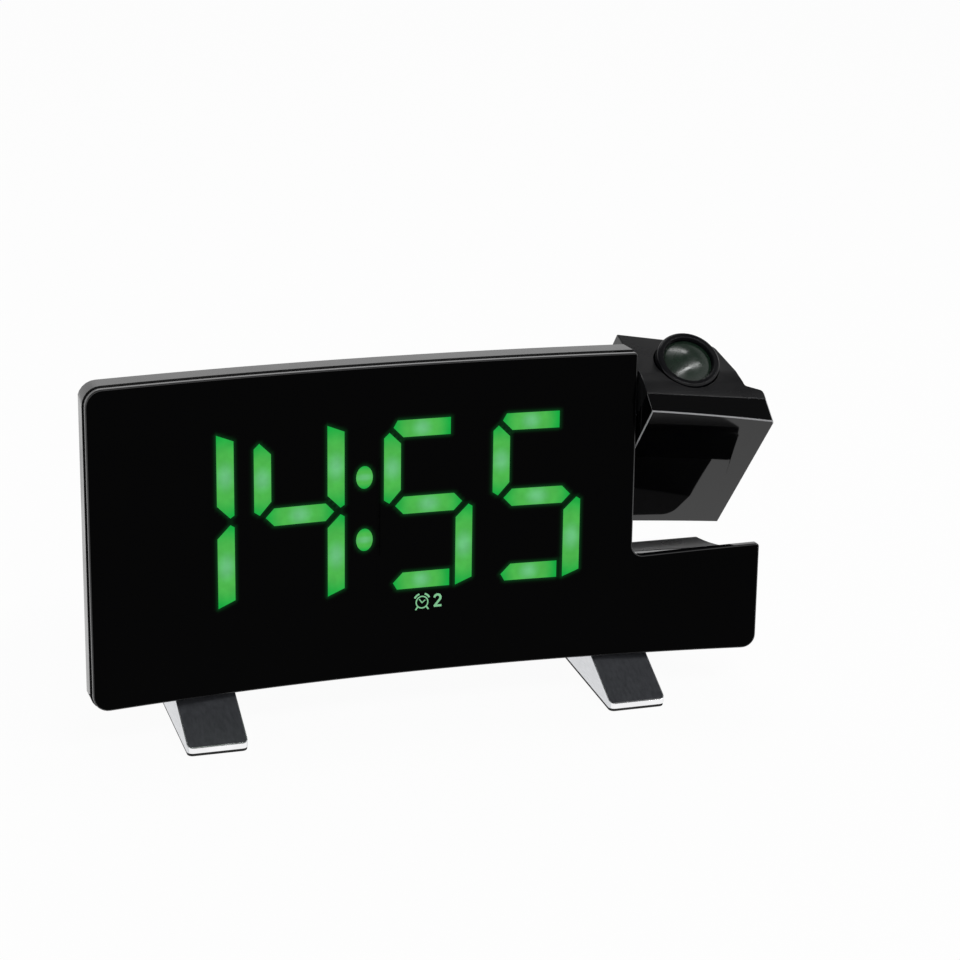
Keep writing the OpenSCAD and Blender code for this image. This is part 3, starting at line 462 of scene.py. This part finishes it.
def rounded(node, material, width_mm=0.3, steps=2, sharp_deg=35, extra=None, share=None):
    """A bevelled copy that stands for the solid. extra(face) may pick a finish by number,
    and share(edge) tells which part of the width an edge takes. Given two finishes and a
    share, the second is the bevel's."""
    bm = solid_copy(node)
    weight = bm.edges.layers.float.new("bevel_weight_edge") if share else None
    sharp = math.radians(sharp_deg)
    edges = [e for e in bm.edges if len(e.link_faces) == 2 and e.calc_face_angle(0) > sharp]
    if share:
        for edge in edges:
            edge[weight] = share(edge)
    else:
        bmesh.ops.bevel(bm, geom=edges, offset=width_mm * MM, offset_type="OFFSET", segments=steps,
                        profile=0.5, affect="EDGES", clamp_overlap=False)
    if extra:
        for face in bm.faces:
            face.material_index = extra(face)
    shade(bm, 180 if share else 28)
    piece = add_piece(node + "_rounded", bm, material, BODY_OF[node], [node])
    if share:
        bevel = piece.modifiers.new("edges", "BEVEL")
        bevel.limit_method = "WEIGHT"
        bevel.width = width_mm * MM
        bevel.segments = steps
        bevel.use_clamp_overlap = False
        # a second finish on the bevel paints a line along the edge: shade on the rim, a highlight on the
        # head's cover
        bevel.material = 1 if isinstance(material, list) else -1
    even = piece.modifiers.new("even_normals", "WEIGHTED_NORMAL")
    even.keep_sharp = True
    return piece


for node, finish, width in [
    ("rear_cover", "cover", 0.35), ("head_shell", "shell", 0.35),
    ("snooze_bar", "snooze", 0.5), ("battery_door", "cover", 0.12),
]:
    piece = rounded(node, finishes[finish], width)
    print(piece.name, len(piece.data.polygons), "faces")
rounded("side_housing", finishes["housing"], 0.35)


RIM_W, RIM_BACK = 1.5, 7


def rim_share(edge):
    """The rim's back edge is rounded most, and the edges beside the seam least."""
    middle = (edge.verts[0].co + edge.verts[1].co) / 2
    at = LEANING.inverted() @ (middle * 1000)
    outer = abs(at.x) > PANEL_W / 2 - RIM_W or abs(at.z) > PANEL_H / 2 - RIM_W
    return 1.0 if outer and at.y - bend(at.x) > RIM_BACK else 0.35


# the bevel takes the second finish, which paints shade lines along the rim's back edge and the seam
rounded("front_bezel", [finishes["bezel"], finishes["bezel_painted_shade"]], 0.8, 3, share=rim_share)

# %% Buttons
for node in BODY_OF:
    if node.endswith("_button"):
        rounded(node, finishes["button"], 0.4, 3)
print("buttons rounded:", sum(n.endswith("_button") for n in BODY_OF))

# %% [markdown]
# ## The front sheet
# One sheet of black acrylic, bent hollow, with the notch cut from its corner.
# It is drawn flat as one outline, its front edge is bevelled, and then every
# point is carried onto the bend, so the face stays one smooth curve. The cut
# edge keeps a finish of its own, which catches the light as a fine line.

# %% Front sheet
def corner(a, b, c, radius, steps=8):
    """Points of the arc that rounds corner b between a and c."""
    a, b, c = Vector(a), Vector(b), Vector(c)
    u, w = (a - b).normalized(), (c - b).normalized()
    half = u.angle(w) / 2
    centre = b + (u + w).normalized() * radius / math.sin(half)
    p, q = b + u * radius / math.tan(half), b + w * radius / math.tan(half)
    start = math.atan2(*(p - centre).yx)
    turn = (math.atan2(*(q - centre).yx) - start + math.pi) % (2 * math.pi) - math.pi
    return [(centre.x + radius * math.cos(start + turn * k / steps),
             centre.y + radius * math.sin(start + turn * k / steps)) for k in range(steps + 1)]


def outline(corners):
    points = []
    for i, (x, z, radius) in enumerate(corners):
        before, after = corners[i - 1][:2], corners[(i + 1) % len(corners)][:2]
        points += corner(before, (x, z), after, radius)
    return points


HALF_W, HALF_H = PANEL_W / 2, PANEL_H / 2
PANEL_CORNERS = [(-HALF_W, -HALF_H, 4.5), (HALF_W, -HALF_H, 3.8), (HALF_W, -12.3, 0.8),
                 (57.0, -14.5, 3.0), (57.0, HALF_H, 0.8), (-HALF_W, HALF_H, 4.5)]
SHEET_T = 2.0


def cut_in_strips(bm, step_mm, low, high, axis=0):
    """Cuts a flat mesh across, so that it can be bent."""
    normal = Vector((1, 0, 0)) if axis == 0 else Vector((0, 0, 1))
    count = int((high - low) / step_mm)
    for k in range(1, count + 1):
        at = normal * (low + k * step_mm)
        geom = bm.verts[:] + bm.edges[:] + bm.faces[:]
        bmesh.ops.bisect_plane(bm, geom=geom, plane_co=at, plane_no=normal, dist=1e-4)


def bent(bm):
    """Carries a mesh that is drawn flat, in millimetres, onto the clock's bend."""
    for vert in bm.verts:
        x, y, z = vert.co
        vert.co = on_clock(x, y + bend(x), z)
    bmesh.ops.recalc_face_normals(bm, faces=bm.faces)


def make_front_sheet():
    bm = bmesh.new()
    face = bm.faces.new([bm.verts.new((x, 0, z)) for x, z in outline(PANEL_CORNERS)])
    deep = bmesh.ops.extrude_face_region(bm, geom=[face])
    moved = [g for g in deep["geom"] if isinstance(g, bmesh.types.BMVert)]
    bmesh.ops.translate(bm, verts=moved, vec=(0, SHEET_T, 0))
    front = [e for e in bm.edges if all(abs(v.co.y) < 1e-6 for v in e.verts)]
    bmesh.ops.bevel(bm, geom=front, offset=0.35, segments=3, profile=0.5, affect="EDGES")
    bmesh.ops.recalc_face_normals(bm, faces=bm.faces)
    for face in bm.faces:
        face.material_index = 0 if face.normal.y < -0.99 else 1
    cut_in_strips(bm, 2.0, -HALF_W, HALF_W)
    bent(bm)
    shade(bm)
    return add_piece("front_sheet", bm, [finishes["panel"], finishes["panel_edge"]],
                     "clock", ["front_panel"])


sheet = make_front_sheet()
print("front sheet:", len(sheet.data.polygons), "faces")

# %% [markdown]
# ## Lit digits
# Each segment is a window that a lamp lights from behind: pale green in the
# middle, deeper green towards its ends. The segment is cut into small cells,
# and each corner stores how far it lies from the middle of the bar, which the
# finish turns into colour. A second thin patch behind it holds the faint halo.

# %% Segment shapes
DIGIT_W, HALF_DIGIT, DIGIT_ROW, BAR = 24.7, 23.4, 4.5, 4.65
DIGIT_X = [-78.9, -48.8, -13.2, 17.1]
COLON_X, COLON_Z = -18.6, (13.1, -4.1)
DOT_W, DOT_H = 2.3, 3.1  # from a dot's middle to its edge
UPPER = {
    "a": [(3.7, 0), (18.4, 0), (18.4, -BAR), (5.3, -BAR), (2.6, -1.9)],
    "b": [(DIGIT_W - BAR, 0), (DIGIT_W, -1.9), (DIGIT_W, -21.8), (DIGIT_W - 1.1, -22.5),
          (DIGIT_W - BAR, -19)],
    "f": [(1.5, -3.2), (BAR, -6.3), (BAR, -19.1), (1.5, -22.6), (0, -21.6), (0, -4.6)],
}
TWIN = {"d": "a", "c": "b", "e": "f"}


def segment(name):
    if name == "g":
        return [(5.4, 2.4), (19.5, 2.4), (21.8, 0), (19.5, -2.4), (5.4, -2.4), (3.1, 0)]
    if name in TWIN:
        return [(x, -HALF_DIGIT - z) for x, z in UPPER[TWIN[name]]]
    return [(x, HALF_DIGIT + z) for x, z in UPPER[name]]


LIT = [(0, "bc"), (1, "fgbc"), (2, "afgcd"), (3, "afgcd")]
lit_shapes = [[(DIGIT_X[i] + x, DIGIT_ROW + z) for x, z in segment(s)] for i, names in LIT for s in names]
for z in COLON_Z:
    lit_shapes.append([(COLON_X + DOT_W * math.cos(t * math.pi / 12), z + DOT_H * math.sin(t * math.pi / 12))
                       for t in range(24)])
print("lit windows:", len(lit_shapes))


# %% Finish of the lit windows
def lit_window(name, middle, between_them, ends, strength):
    """Emission that goes from a pale middle to deeper ends by the stored distance."""
    material, n, link, shader, place = principled(name, (0.002, 0.01, 0.004), 0.08, specular=0.02)
    away = n.new("ShaderNodeAttribute")
    away.attribute_name = "away"
    ramp = n.new("ShaderNodeValToRGB")
    ramp.color_ramp.interpolation = "EASE"
    ramp.color_ramp.elements[0].color = rgba(middle)
    ramp.color_ramp.elements[1].color = rgba(ends)
    ramp.color_ramp.elements.new(0.45).color = rgba(between_them)
    link.new(away.outputs["Fac"], ramp.inputs[0])
    link.new(ramp.outputs[0], shader.inputs["Emission Color"])
    cells = between(n, link, noise(n, link, place, 2.5, 2), strength * 0.93, strength * 1.07)
    link.new(cells, shader.inputs["Emission Strength"])
    return material


def halo(name, colour, strength):
    """The panel's own black with a glow that fades with the stored value."""
    material = polished(name, PANEL_BLACK, 0.035, specular=0.022)
    n, link = material.node_tree.nodes, material.node_tree.links
    shader = next(node for node in n if node.type == "BSDF_PRINCIPLED")
    near = n.new("ShaderNodeAttribute")
    near.attribute_name = "near"
    fade = n.new("ShaderNodeMath")
    fade.operation = "POWER"
    fade.inputs[1].default_value = 2.5
    link.new(near.outputs["Fac"], fade.inputs[0])
    level = n.new("ShaderNodeMath")
    level.operation = "MULTIPLY"
    level.inputs[1].default_value = strength
    link.new(fade.outputs[0], level.inputs[0])
    shader.inputs["Emission Color"].default_value = rgba(colour)
    link.new(level.outputs[0], shader.inputs["Emission Strength"])
    return material


finishes["lit"] = lit_window("segment_green", (0.14, 0.515, 0.205), (0.07, 0.45, 0.07),
                             (0.004, 0.39, 0.048), 1.0)
finishes["symbol"] = lit_window("symbol_green", (0.25, 0.56, 0.31), (0.22, 0.53, 0.28),
                                (0.2, 0.5, 0.27), 1.0)
finishes["halo"] = halo("segment_halo", (0.01, 0.2, 0.04), 0.22)
print("lit finishes:", [finishes[key].name for key in ("lit", "symbol", "halo")])

# %% Lit windows on the face
ALONG, ACROSS = 0.95, 0.3


def away_from_middle(points):
    """A function that tells how far a point lies along a bar, 0 at its middle, 1 at its ends."""
    xs, zs = [p[0] for p in points], [p[1] for p in points]
    cx, cz = (min(xs) + max(xs)) / 2, (min(zs) + max(zs)) / 2
    wx, wz = (max(xs) - min(xs)) / 2, (max(zs) - min(zs)) / 2
    pull_x, pull_z = ALONG if wx > wz else ACROSS, ALONG if wz > wx else ACROSS
    return lambda x, z: min(1.0, math.hypot((x - cx) / wx * pull_x, (z - cz) / wz * pull_z))


def face_patches(name, shapes, lift, material, store, value_of, cell=0.9):
    """Flat shapes cut into cells and laid on the face, each corner with a stored value."""
    total = bmesh.new()
    layer = total.verts.layers.float.new(store)
    for points in shapes:
        bm = bmesh.new()
        bm.faces.new([bm.verts.new((x, 0, z)) for x, z in points])
        xs, zs = [p[0] for p in points], [p[1] for p in points]
        cut_in_strips(bm, cell, min(xs), max(xs), 0)
        cut_in_strips(bm, cell, min(zs), max(zs), 2)
        value = value_of(points)
        made = {}
        for vert in bm.verts:
            x, _, z = vert.co
            made[vert] = total.verts.new(on_face(x, z, lift))
            made[vert][layer] = value(x, z)
        for face in bm.faces:
            total.faces.new([made[v] for v in face.verts])
        bm.free()
    towards_viewer = on_clock(0, -1, 0) - on_clock(0, 0, 0)
    for face in total.faces:
        face.normal_update()
        if face.normal.dot(towards_viewer) < 0:
            face.normal_flip()
        face.smooth = True
    return add_piece(name, total, material, "clock")


digits = face_patches("lit_segments", lit_shapes, 0.05, finishes["lit"], "away", away_from_middle)
print("lit segments:", len(digits.data.polygons), "cells")


# %% Halo behind the windows
def gap_to(points):
    """Distance from a point to a closed shape, 0 inside it."""
    def distance(x, z):
        inside, best = False, 1e9
        for i, (x1, z1) in enumerate(points):
            x0, z0 = points[i - 1]
            dx, dz = x1 - x0, z1 - z0
            t = max(0, min(1, ((x - x0) * dx + (z - z0) * dz) / (dx * dx + dz * dz)))
            best = min(best, math.hypot(x - x0 - t * dx, z - z0 - t * dz))
            if (z0 > z) != (z1 > z) and x < (x1 - x0) * (z - z0) / (z1 - z0) + x0:
                inside = not inside
        return 0.0 if inside else best
    return distance


def upright_area(left, right, low, high):
    return [(left, low), (right, low), (right, high), (left, high)]


HALO_W, HALO_ROOM = 1.5, 2
DIGIT_LOW, DIGIT_HIGH = -21, 30
COLON_HALF, COLON_LOW, COLON_HIGH = 4.4, -9, 18
digit_areas = []
for i, names in LIT:
    first_lit = DIGIT_X[i] + (20 if names == "bc" else 0)
    last_lit = DIGIT_X[i] + DIGIT_W
    digit_areas.append(upright_area(first_lit - HALO_ROOM, last_lit + HALO_ROOM, DIGIT_LOW, DIGIT_HIGH))
digit_areas.append(upright_area(COLON_X - COLON_HALF, COLON_X + COLON_HALF, COLON_LOW, COLON_HIGH))
distances = [gap_to(s) for s in lit_shapes]


def nearness(_area):
    """Every area takes its value from the nearest lit shape."""
    return lambda x, z: max(0.0, 1 - min(d(x, z) for d in distances) / HALO_W)


halo_patch = face_patches("segment_halo", digit_areas, 0.02, finishes["halo"], "near", nearness, 1.0)
print("halo cells:", len(halo_patch.data.polygons))

# %% [markdown]
# ## Alarm symbol
# A small alarm clock and a number two show that the second alarm is set. They
# are drawn as strokes of even width on the face, like the printed mask that
# lets the lamp through.

# %% Strokes for the symbol
def stroke(points, width, closed=False):
    """One four-sided patch for each straight run of a line."""
    shapes = []
    runs = list(zip(points, points[1:] + (points[:1] if closed else [])))
    for (x0, z0), (x1, z1) in runs:
        dx, dz = x1 - x0, z1 - z0
        long = math.hypot(dx, dz) or 1
        nx, nz = -dz / long * width / 2, dx / long * width / 2
        ex, ez = dx / long * width * 0.3, dz / long * width * 0.3
        shapes.append([(x0 + nx - ex, z0 + nz - ez), (x0 - nx - ex, z0 - nz - ez),
                       (x1 - nx + ex, z1 - nz + ez), (x1 + nx + ex, z1 + nz + ez)])
    return shapes


def arc(cx, cz, radius, start, end, steps=14):
    """Points of an arc whose start and end are given in degrees."""
    turns = [math.radians(start + (end - start) * k / steps) for k in range(steps + 1)]
    return [(cx + radius * math.cos(turn), cz + radius * math.sin(turn)) for turn in turns]


SX, SZ = -2.4, -23.0
symbol = stroke(arc(SX, SZ - 0.1, 1.65, 0, 360, 20), 0.34)
symbol += stroke([(SX - 0.75, SZ + 0.75), (SX, SZ - 0.25), (SX + 0.85, SZ + 0.45)], 0.3)
symbol += stroke(arc(SX, SZ, 2.35, 112, 148, 4), 0.5) + stroke(arc(SX, SZ, 2.35, 32, 68, 4), 0.5)
symbol += stroke([(SX - 1.2, SZ - 1.35), (SX - 1.75, SZ - 2.1)], 0.4)
symbol += stroke([(SX + 1.2, SZ - 1.35), (SX + 1.75, SZ - 2.1)], 0.4)
TX, TZ = 1.95, -23.0
two = arc(TX, TZ + 0.85, 0.85, 165, -35, 10) + [(TX - 0.8, TZ - 1.45), (TX + 0.95, TZ - 1.45)]
symbol += stroke(two, 0.62)
symbol_patch = face_patches("alarm_symbol", symbol, 0.05, finishes["symbol"], "away",
                            lambda points: (lambda x, z: 0.4), 2.0)
print("symbol strokes:", len(symbol))

# %% [markdown]
# ## Feet
# Each foot is a cast wedge. Its top carries a dark brushed plate, which stays
# as its solid, its toe is cut off upright and polished to a bright lip, and a
# rubber sole lies below. The faces of the rounded copy are sorted by the way
# they look: those that face forwards at the toe take the polished finish. The
# foot's bevel is narrow, because the rim round the plate is only 0.35 mm wide.

# %% Feet and soles
toe_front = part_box("left_foot")[0][1]
LIP_DEPTH = 0.0006


def foot_finish(face):
    at = face.calc_center_median()
    return 1 if at.y < toe_front + LIP_DEPTH and face.normal.y < -0.3 else 0


for name in ("left_foot", "right_foot"):
    rounded(name, [finishes["foot"], finishes["lip"]], 0.12, 2, extra=foot_finish)
    rounded(name + "_sole", finishes["sole"], 0.2)
print("feet finished")

# %% [markdown]
# ## Projector head
# The head is a satin shell with a glossy black cover on its front. The cover's
# front edge is rounded most along its top and its left side, and all its
# rounded edges take a pale grey finish: a painted highlight line. A focus
# ring stands out of its top, with the lens sunk in it. Turned pieces such as
# the ring keep their solids' own fine facets and only get rounded rims.

# %% Head
TOP_EDGE_Z, LEFT_EDGE_X = 30, 60


def cover_share(edge):
    """The glossy cover's front edge is rounded most, along its top and its left side."""
    turn = HEADING.to_3x3().inverted()
    front = any((turn @ face.normal).y < -0.95 for face in edge.link_faces)
    ends = [HEADING.inverted() @ (v.co * 1000) for v in edge.verts]
    chosen = all(at.z > TOP_EDGE_Z for at in ends) or all(at.x < LEFT_EDGE_X for at in ends)
    return 1.0 if front and chosen and ends[0].y - bend(ends[0].x) < 1.0 else 0.1


# the bevel takes the second finish, which paints a highlight line along the cover's edge
rounded("head_cover", [finishes["head_gloss"], finishes["cover_highlight_paint"]], 0.3, 3, share=cover_share)
rounded("focus_ring", finishes["ring"], 0.15, 2, 40)
nodes["projection_lens"].material_slots[0].material = finishes["front_lens"]
print("head finished")

# %% [markdown]
# ## Repeated detail
# Three patterns are made with Geometry Nodes: fine grip ribs along the snooze
# bar, and the two layers of wires of the dust mesh behind the sound slots. A
# grid of points carries one bar each, the counts and sizes are named inputs of
# the tree, and the result is kept as a plain mesh.

# %% Rows made with Geometry Nodes
def repeated(name, rows, spread_mm, bar_mm, place, material, body):
    """Bars of one size on a grid of points, laid out flat and then put in place."""
    tree = bpy.data.node_groups.new(name, "GeometryNodeTree")
    tree.interface.new_socket("Geometry", in_out="OUTPUT", socket_type="NodeSocketGeometry")
    points = tree.nodes.new("GeometryNodeMeshGrid")
    bar = tree.nodes.new("GeometryNodeMeshCube")
    stand = tree.nodes.new("GeometryNodeInstanceOnPoints")
    made = tree.nodes.new("GeometryNodeRealizeInstances")
    paint = tree.nodes.new("GeometryNodeSetMaterial")
    out = tree.nodes.new("NodeGroupOutput")
    paint.inputs["Material"].default_value = material
    for start, end in ((points, stand), (stand, made), (made, paint), (paint, out)):
        tree.links.new(start.outputs[0], end.inputs[0])
    tree.links.new(bar.outputs[0], stand.inputs["Instance"])
    given = tree.nodes.new("NodeGroupInput")
    values = {}
    for label, kind, value, target in (
        ("Bars along X", "NodeSocketInt", rows[0], points.inputs["Vertices X"]),
        ("Bars along Y", "NodeSocketInt", rows[1], points.inputs["Vertices Y"]),
        ("Spread X", "NodeSocketFloat", spread_mm[0] * MM, points.inputs["Size X"]),
        ("Spread Y", "NodeSocketFloat", spread_mm[1] * MM, points.inputs["Size Y"]),
        ("Bar size", "NodeSocketVector", [v * MM for v in bar_mm], bar.inputs["Size"]),
    ):
        socket = tree.interface.new_socket(label, in_out="INPUT", socket_type=kind)
        tree.links.new(given.outputs[label], target)
        values[socket.identifier] = value
    seed = bpy.data.objects.new(name, bpy.data.meshes.new(name + "_seed"))
    bpy.context.scene.collection.objects.link(seed)
    grow = seed.modifiers.new("rows", "NODES")
    grow.node_group = tree
    for identifier, value in values.items():
        grow[identifier] = value
    view = bpy.context.evaluated_depsgraph_get()
    grown = bpy.data.meshes.new_from_object(seed.evaluated_get(view))
    seed.modifiers.remove(grow)
    seed.data = grown
    grown.transform(place)
    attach(seed, body)
    return seed


def on_clock_at(x, y, z):
    """Stands flat work at a point of the leaning clock, with its z up the panel."""
    return Matrix.Translation(on_clock(x, y, z)) @ Matrix.Rotation(-LEAN, 4, "X")


SNOOZE_TOP = on_clock_at(0, 19, 35.9)
RIBS, RIB_ROW, RIB = 19, 54, (0.7, 6.4, 0.5)
MESH_W, WIRE_W, WIRE_T, WIRES = 23.4, 0.22, 0.1, 27
# the mesh stands upright behind the slots
BEHIND_SLOTS = on_clock_at(-26, 27.95, -2) @ Matrix.Rotation(math.radians(90), 4, "X")
ribs = repeated("snooze_ribs", (RIBS, 1), (RIB_ROW, 0), RIB, SNOOZE_TOP,
                finishes["snooze"], BODY_OF["snooze_bar"])
wires = repeated("dust_mesh_wires", (1, WIRES), (0, MESH_W), (MESH_W, WIRE_W, WIRE_T), BEHIND_SLOTS,
                 finishes["mesh_wire"], "clock")
cross_wires = repeated("dust_mesh_cross_wires", (WIRES, 1), (MESH_W, 0), (WIRE_W, MESH_W, WIRE_T),
                       BEHIND_SLOTS, finishes["mesh_wire"], "clock")
print("rows:", [(o.name, len(o.data.polygons)) for o in (ribs, wires, cross_wires)])

# %% [markdown]
# ## Marks on the buttons
# Each rear button carries a plain printed mark: a clock, a bell, minus, plus,
# a cone and a sun. They are strokes like those of the alarm symbol.

# %% Button marks
BUTTON_X0, BUTTON_PITCH, BUTTON_Z, BUTTON_BACK = -36, 13, 18, 31.7
MARK_LINE, BOLD_LINE, MARK_LIFT = 0.25, 0.4, 0.02


def mark_clock():
    return stroke(arc(0, 0, 1.35, 0, 360, 18), MARK_LINE) + stroke([(0, 0.8), (0, 0), (0.65, 0)], MARK_LINE)


def mark_bell():
    bell = arc(0, 0.1, 0.85, 0, 180, 9)
    rim = stroke([(1.2, -0.8), *bell, (-1.2, -0.8)], MARK_LINE, True)
    return rim + stroke([(-0.25, -1.2), (0.25, -1.2)], MARK_LINE)


def mark_minus():
    return stroke([(-1.1, 0), (1.1, 0)], BOLD_LINE)


def mark_plus():
    return mark_minus() + stroke([(0, -1.1), (0, 1.1)], BOLD_LINE)


def mark_cone():
    return stroke([(-1.2, 0), (1.1, 1.1), (1.1, -1.1)], MARK_LINE, True)


def mark_sun():
    shapes = stroke(arc(0, 0, 0.6, 0, 360, 14), MARK_LINE)
    for turn in (math.radians(45 * k) for k in range(8)):
        across, up = math.cos(turn), math.sin(turn)
        shapes += stroke([(across, up), (1.5 * across, 1.5 * up)], MARK_LINE)
    return shapes


def print_marks():
    marks = [mark_clock, mark_bell, mark_minus, mark_plus, mark_cone, mark_sun]
    buttons = ["time", "alarm", "down", "up", "projector", "dimmer"]
    for i, (button, mark) in enumerate(zip(buttons, marks)):
        bm = bmesh.new()
        for points in mark():
            # x is mirrored, because the marks are read from behind
            bm.faces.new([bm.verts.new(on_clock(BUTTON_X0 + i * BUTTON_PITCH - x,
                                                BUTTON_BACK + MARK_LIFT, BUTTON_Z + z))
                          for x, z in points])
        backwards = on_clock(0, 1, 0) - on_clock(0, 0, 0)
        for face in bm.faces:
            face.normal_update()
            if face.normal.dot(backwards) < 0:
                face.normal_flip()
        node = button + "_button"
        add_piece(button + "_mark", bm, finishes["mark"], BODY_OF[node])
    print("marks:", buttons)


print_marks()

# %% [markdown]
# ## Everything inside
# The pieces inside show only through the sound slots, the sockets and the
# lens, but each still gets the finish of its own material.

# %% Finishes of the solids that stay
KEPT = {
    "left_foot_plate": "foot_plate", "right_foot_plate": "foot_plate",
    "light_guide": "inside_white", "digit_windows": "window", "symbol_window": "window",
    "display_board": "board", "segment_lamps": "lamp", "main_board": "board",
    "board_parts": "inside_black", "power_socket": "inside_black", "usb_port": "steel",
    "speaker": "cone", "speaker_ring": "inside_black", "cell_holder": "inside_black",
    "backup_cell": "steel", "button_board": "board", "button_switches": "steel",
    "snooze_board": "board", "pivot_bush": "nylon", "wave_washer": "steel",
    "cover_screws": "screw", "foot_screws": "screw", "optics_tube": "inside_black",
    "condenser_lens": "glass", "image_slide": "slide", "projector_lamp": "lamp",
    "lamp_board": "board", "head_screws": "screw", "pivot_shaft": "steel",
    "shaft_clip": "screw", "projector_lead": "lead",
}
for node, finish in KEPT.items():
    for place in nodes[node].material_slots:
        place.material = finishes[finish]
    for polygon in nodes[node].data.polygons:
        polygon.use_smooth = False
print("solids kept as they are:", len(KEPT))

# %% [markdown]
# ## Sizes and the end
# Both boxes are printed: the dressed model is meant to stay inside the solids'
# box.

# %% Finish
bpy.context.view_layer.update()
for title, box in (("solids:", cad_box), ("dressed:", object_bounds())):
    print(title, [[round(c, 4) for c in corner_at] for corner_at in box])
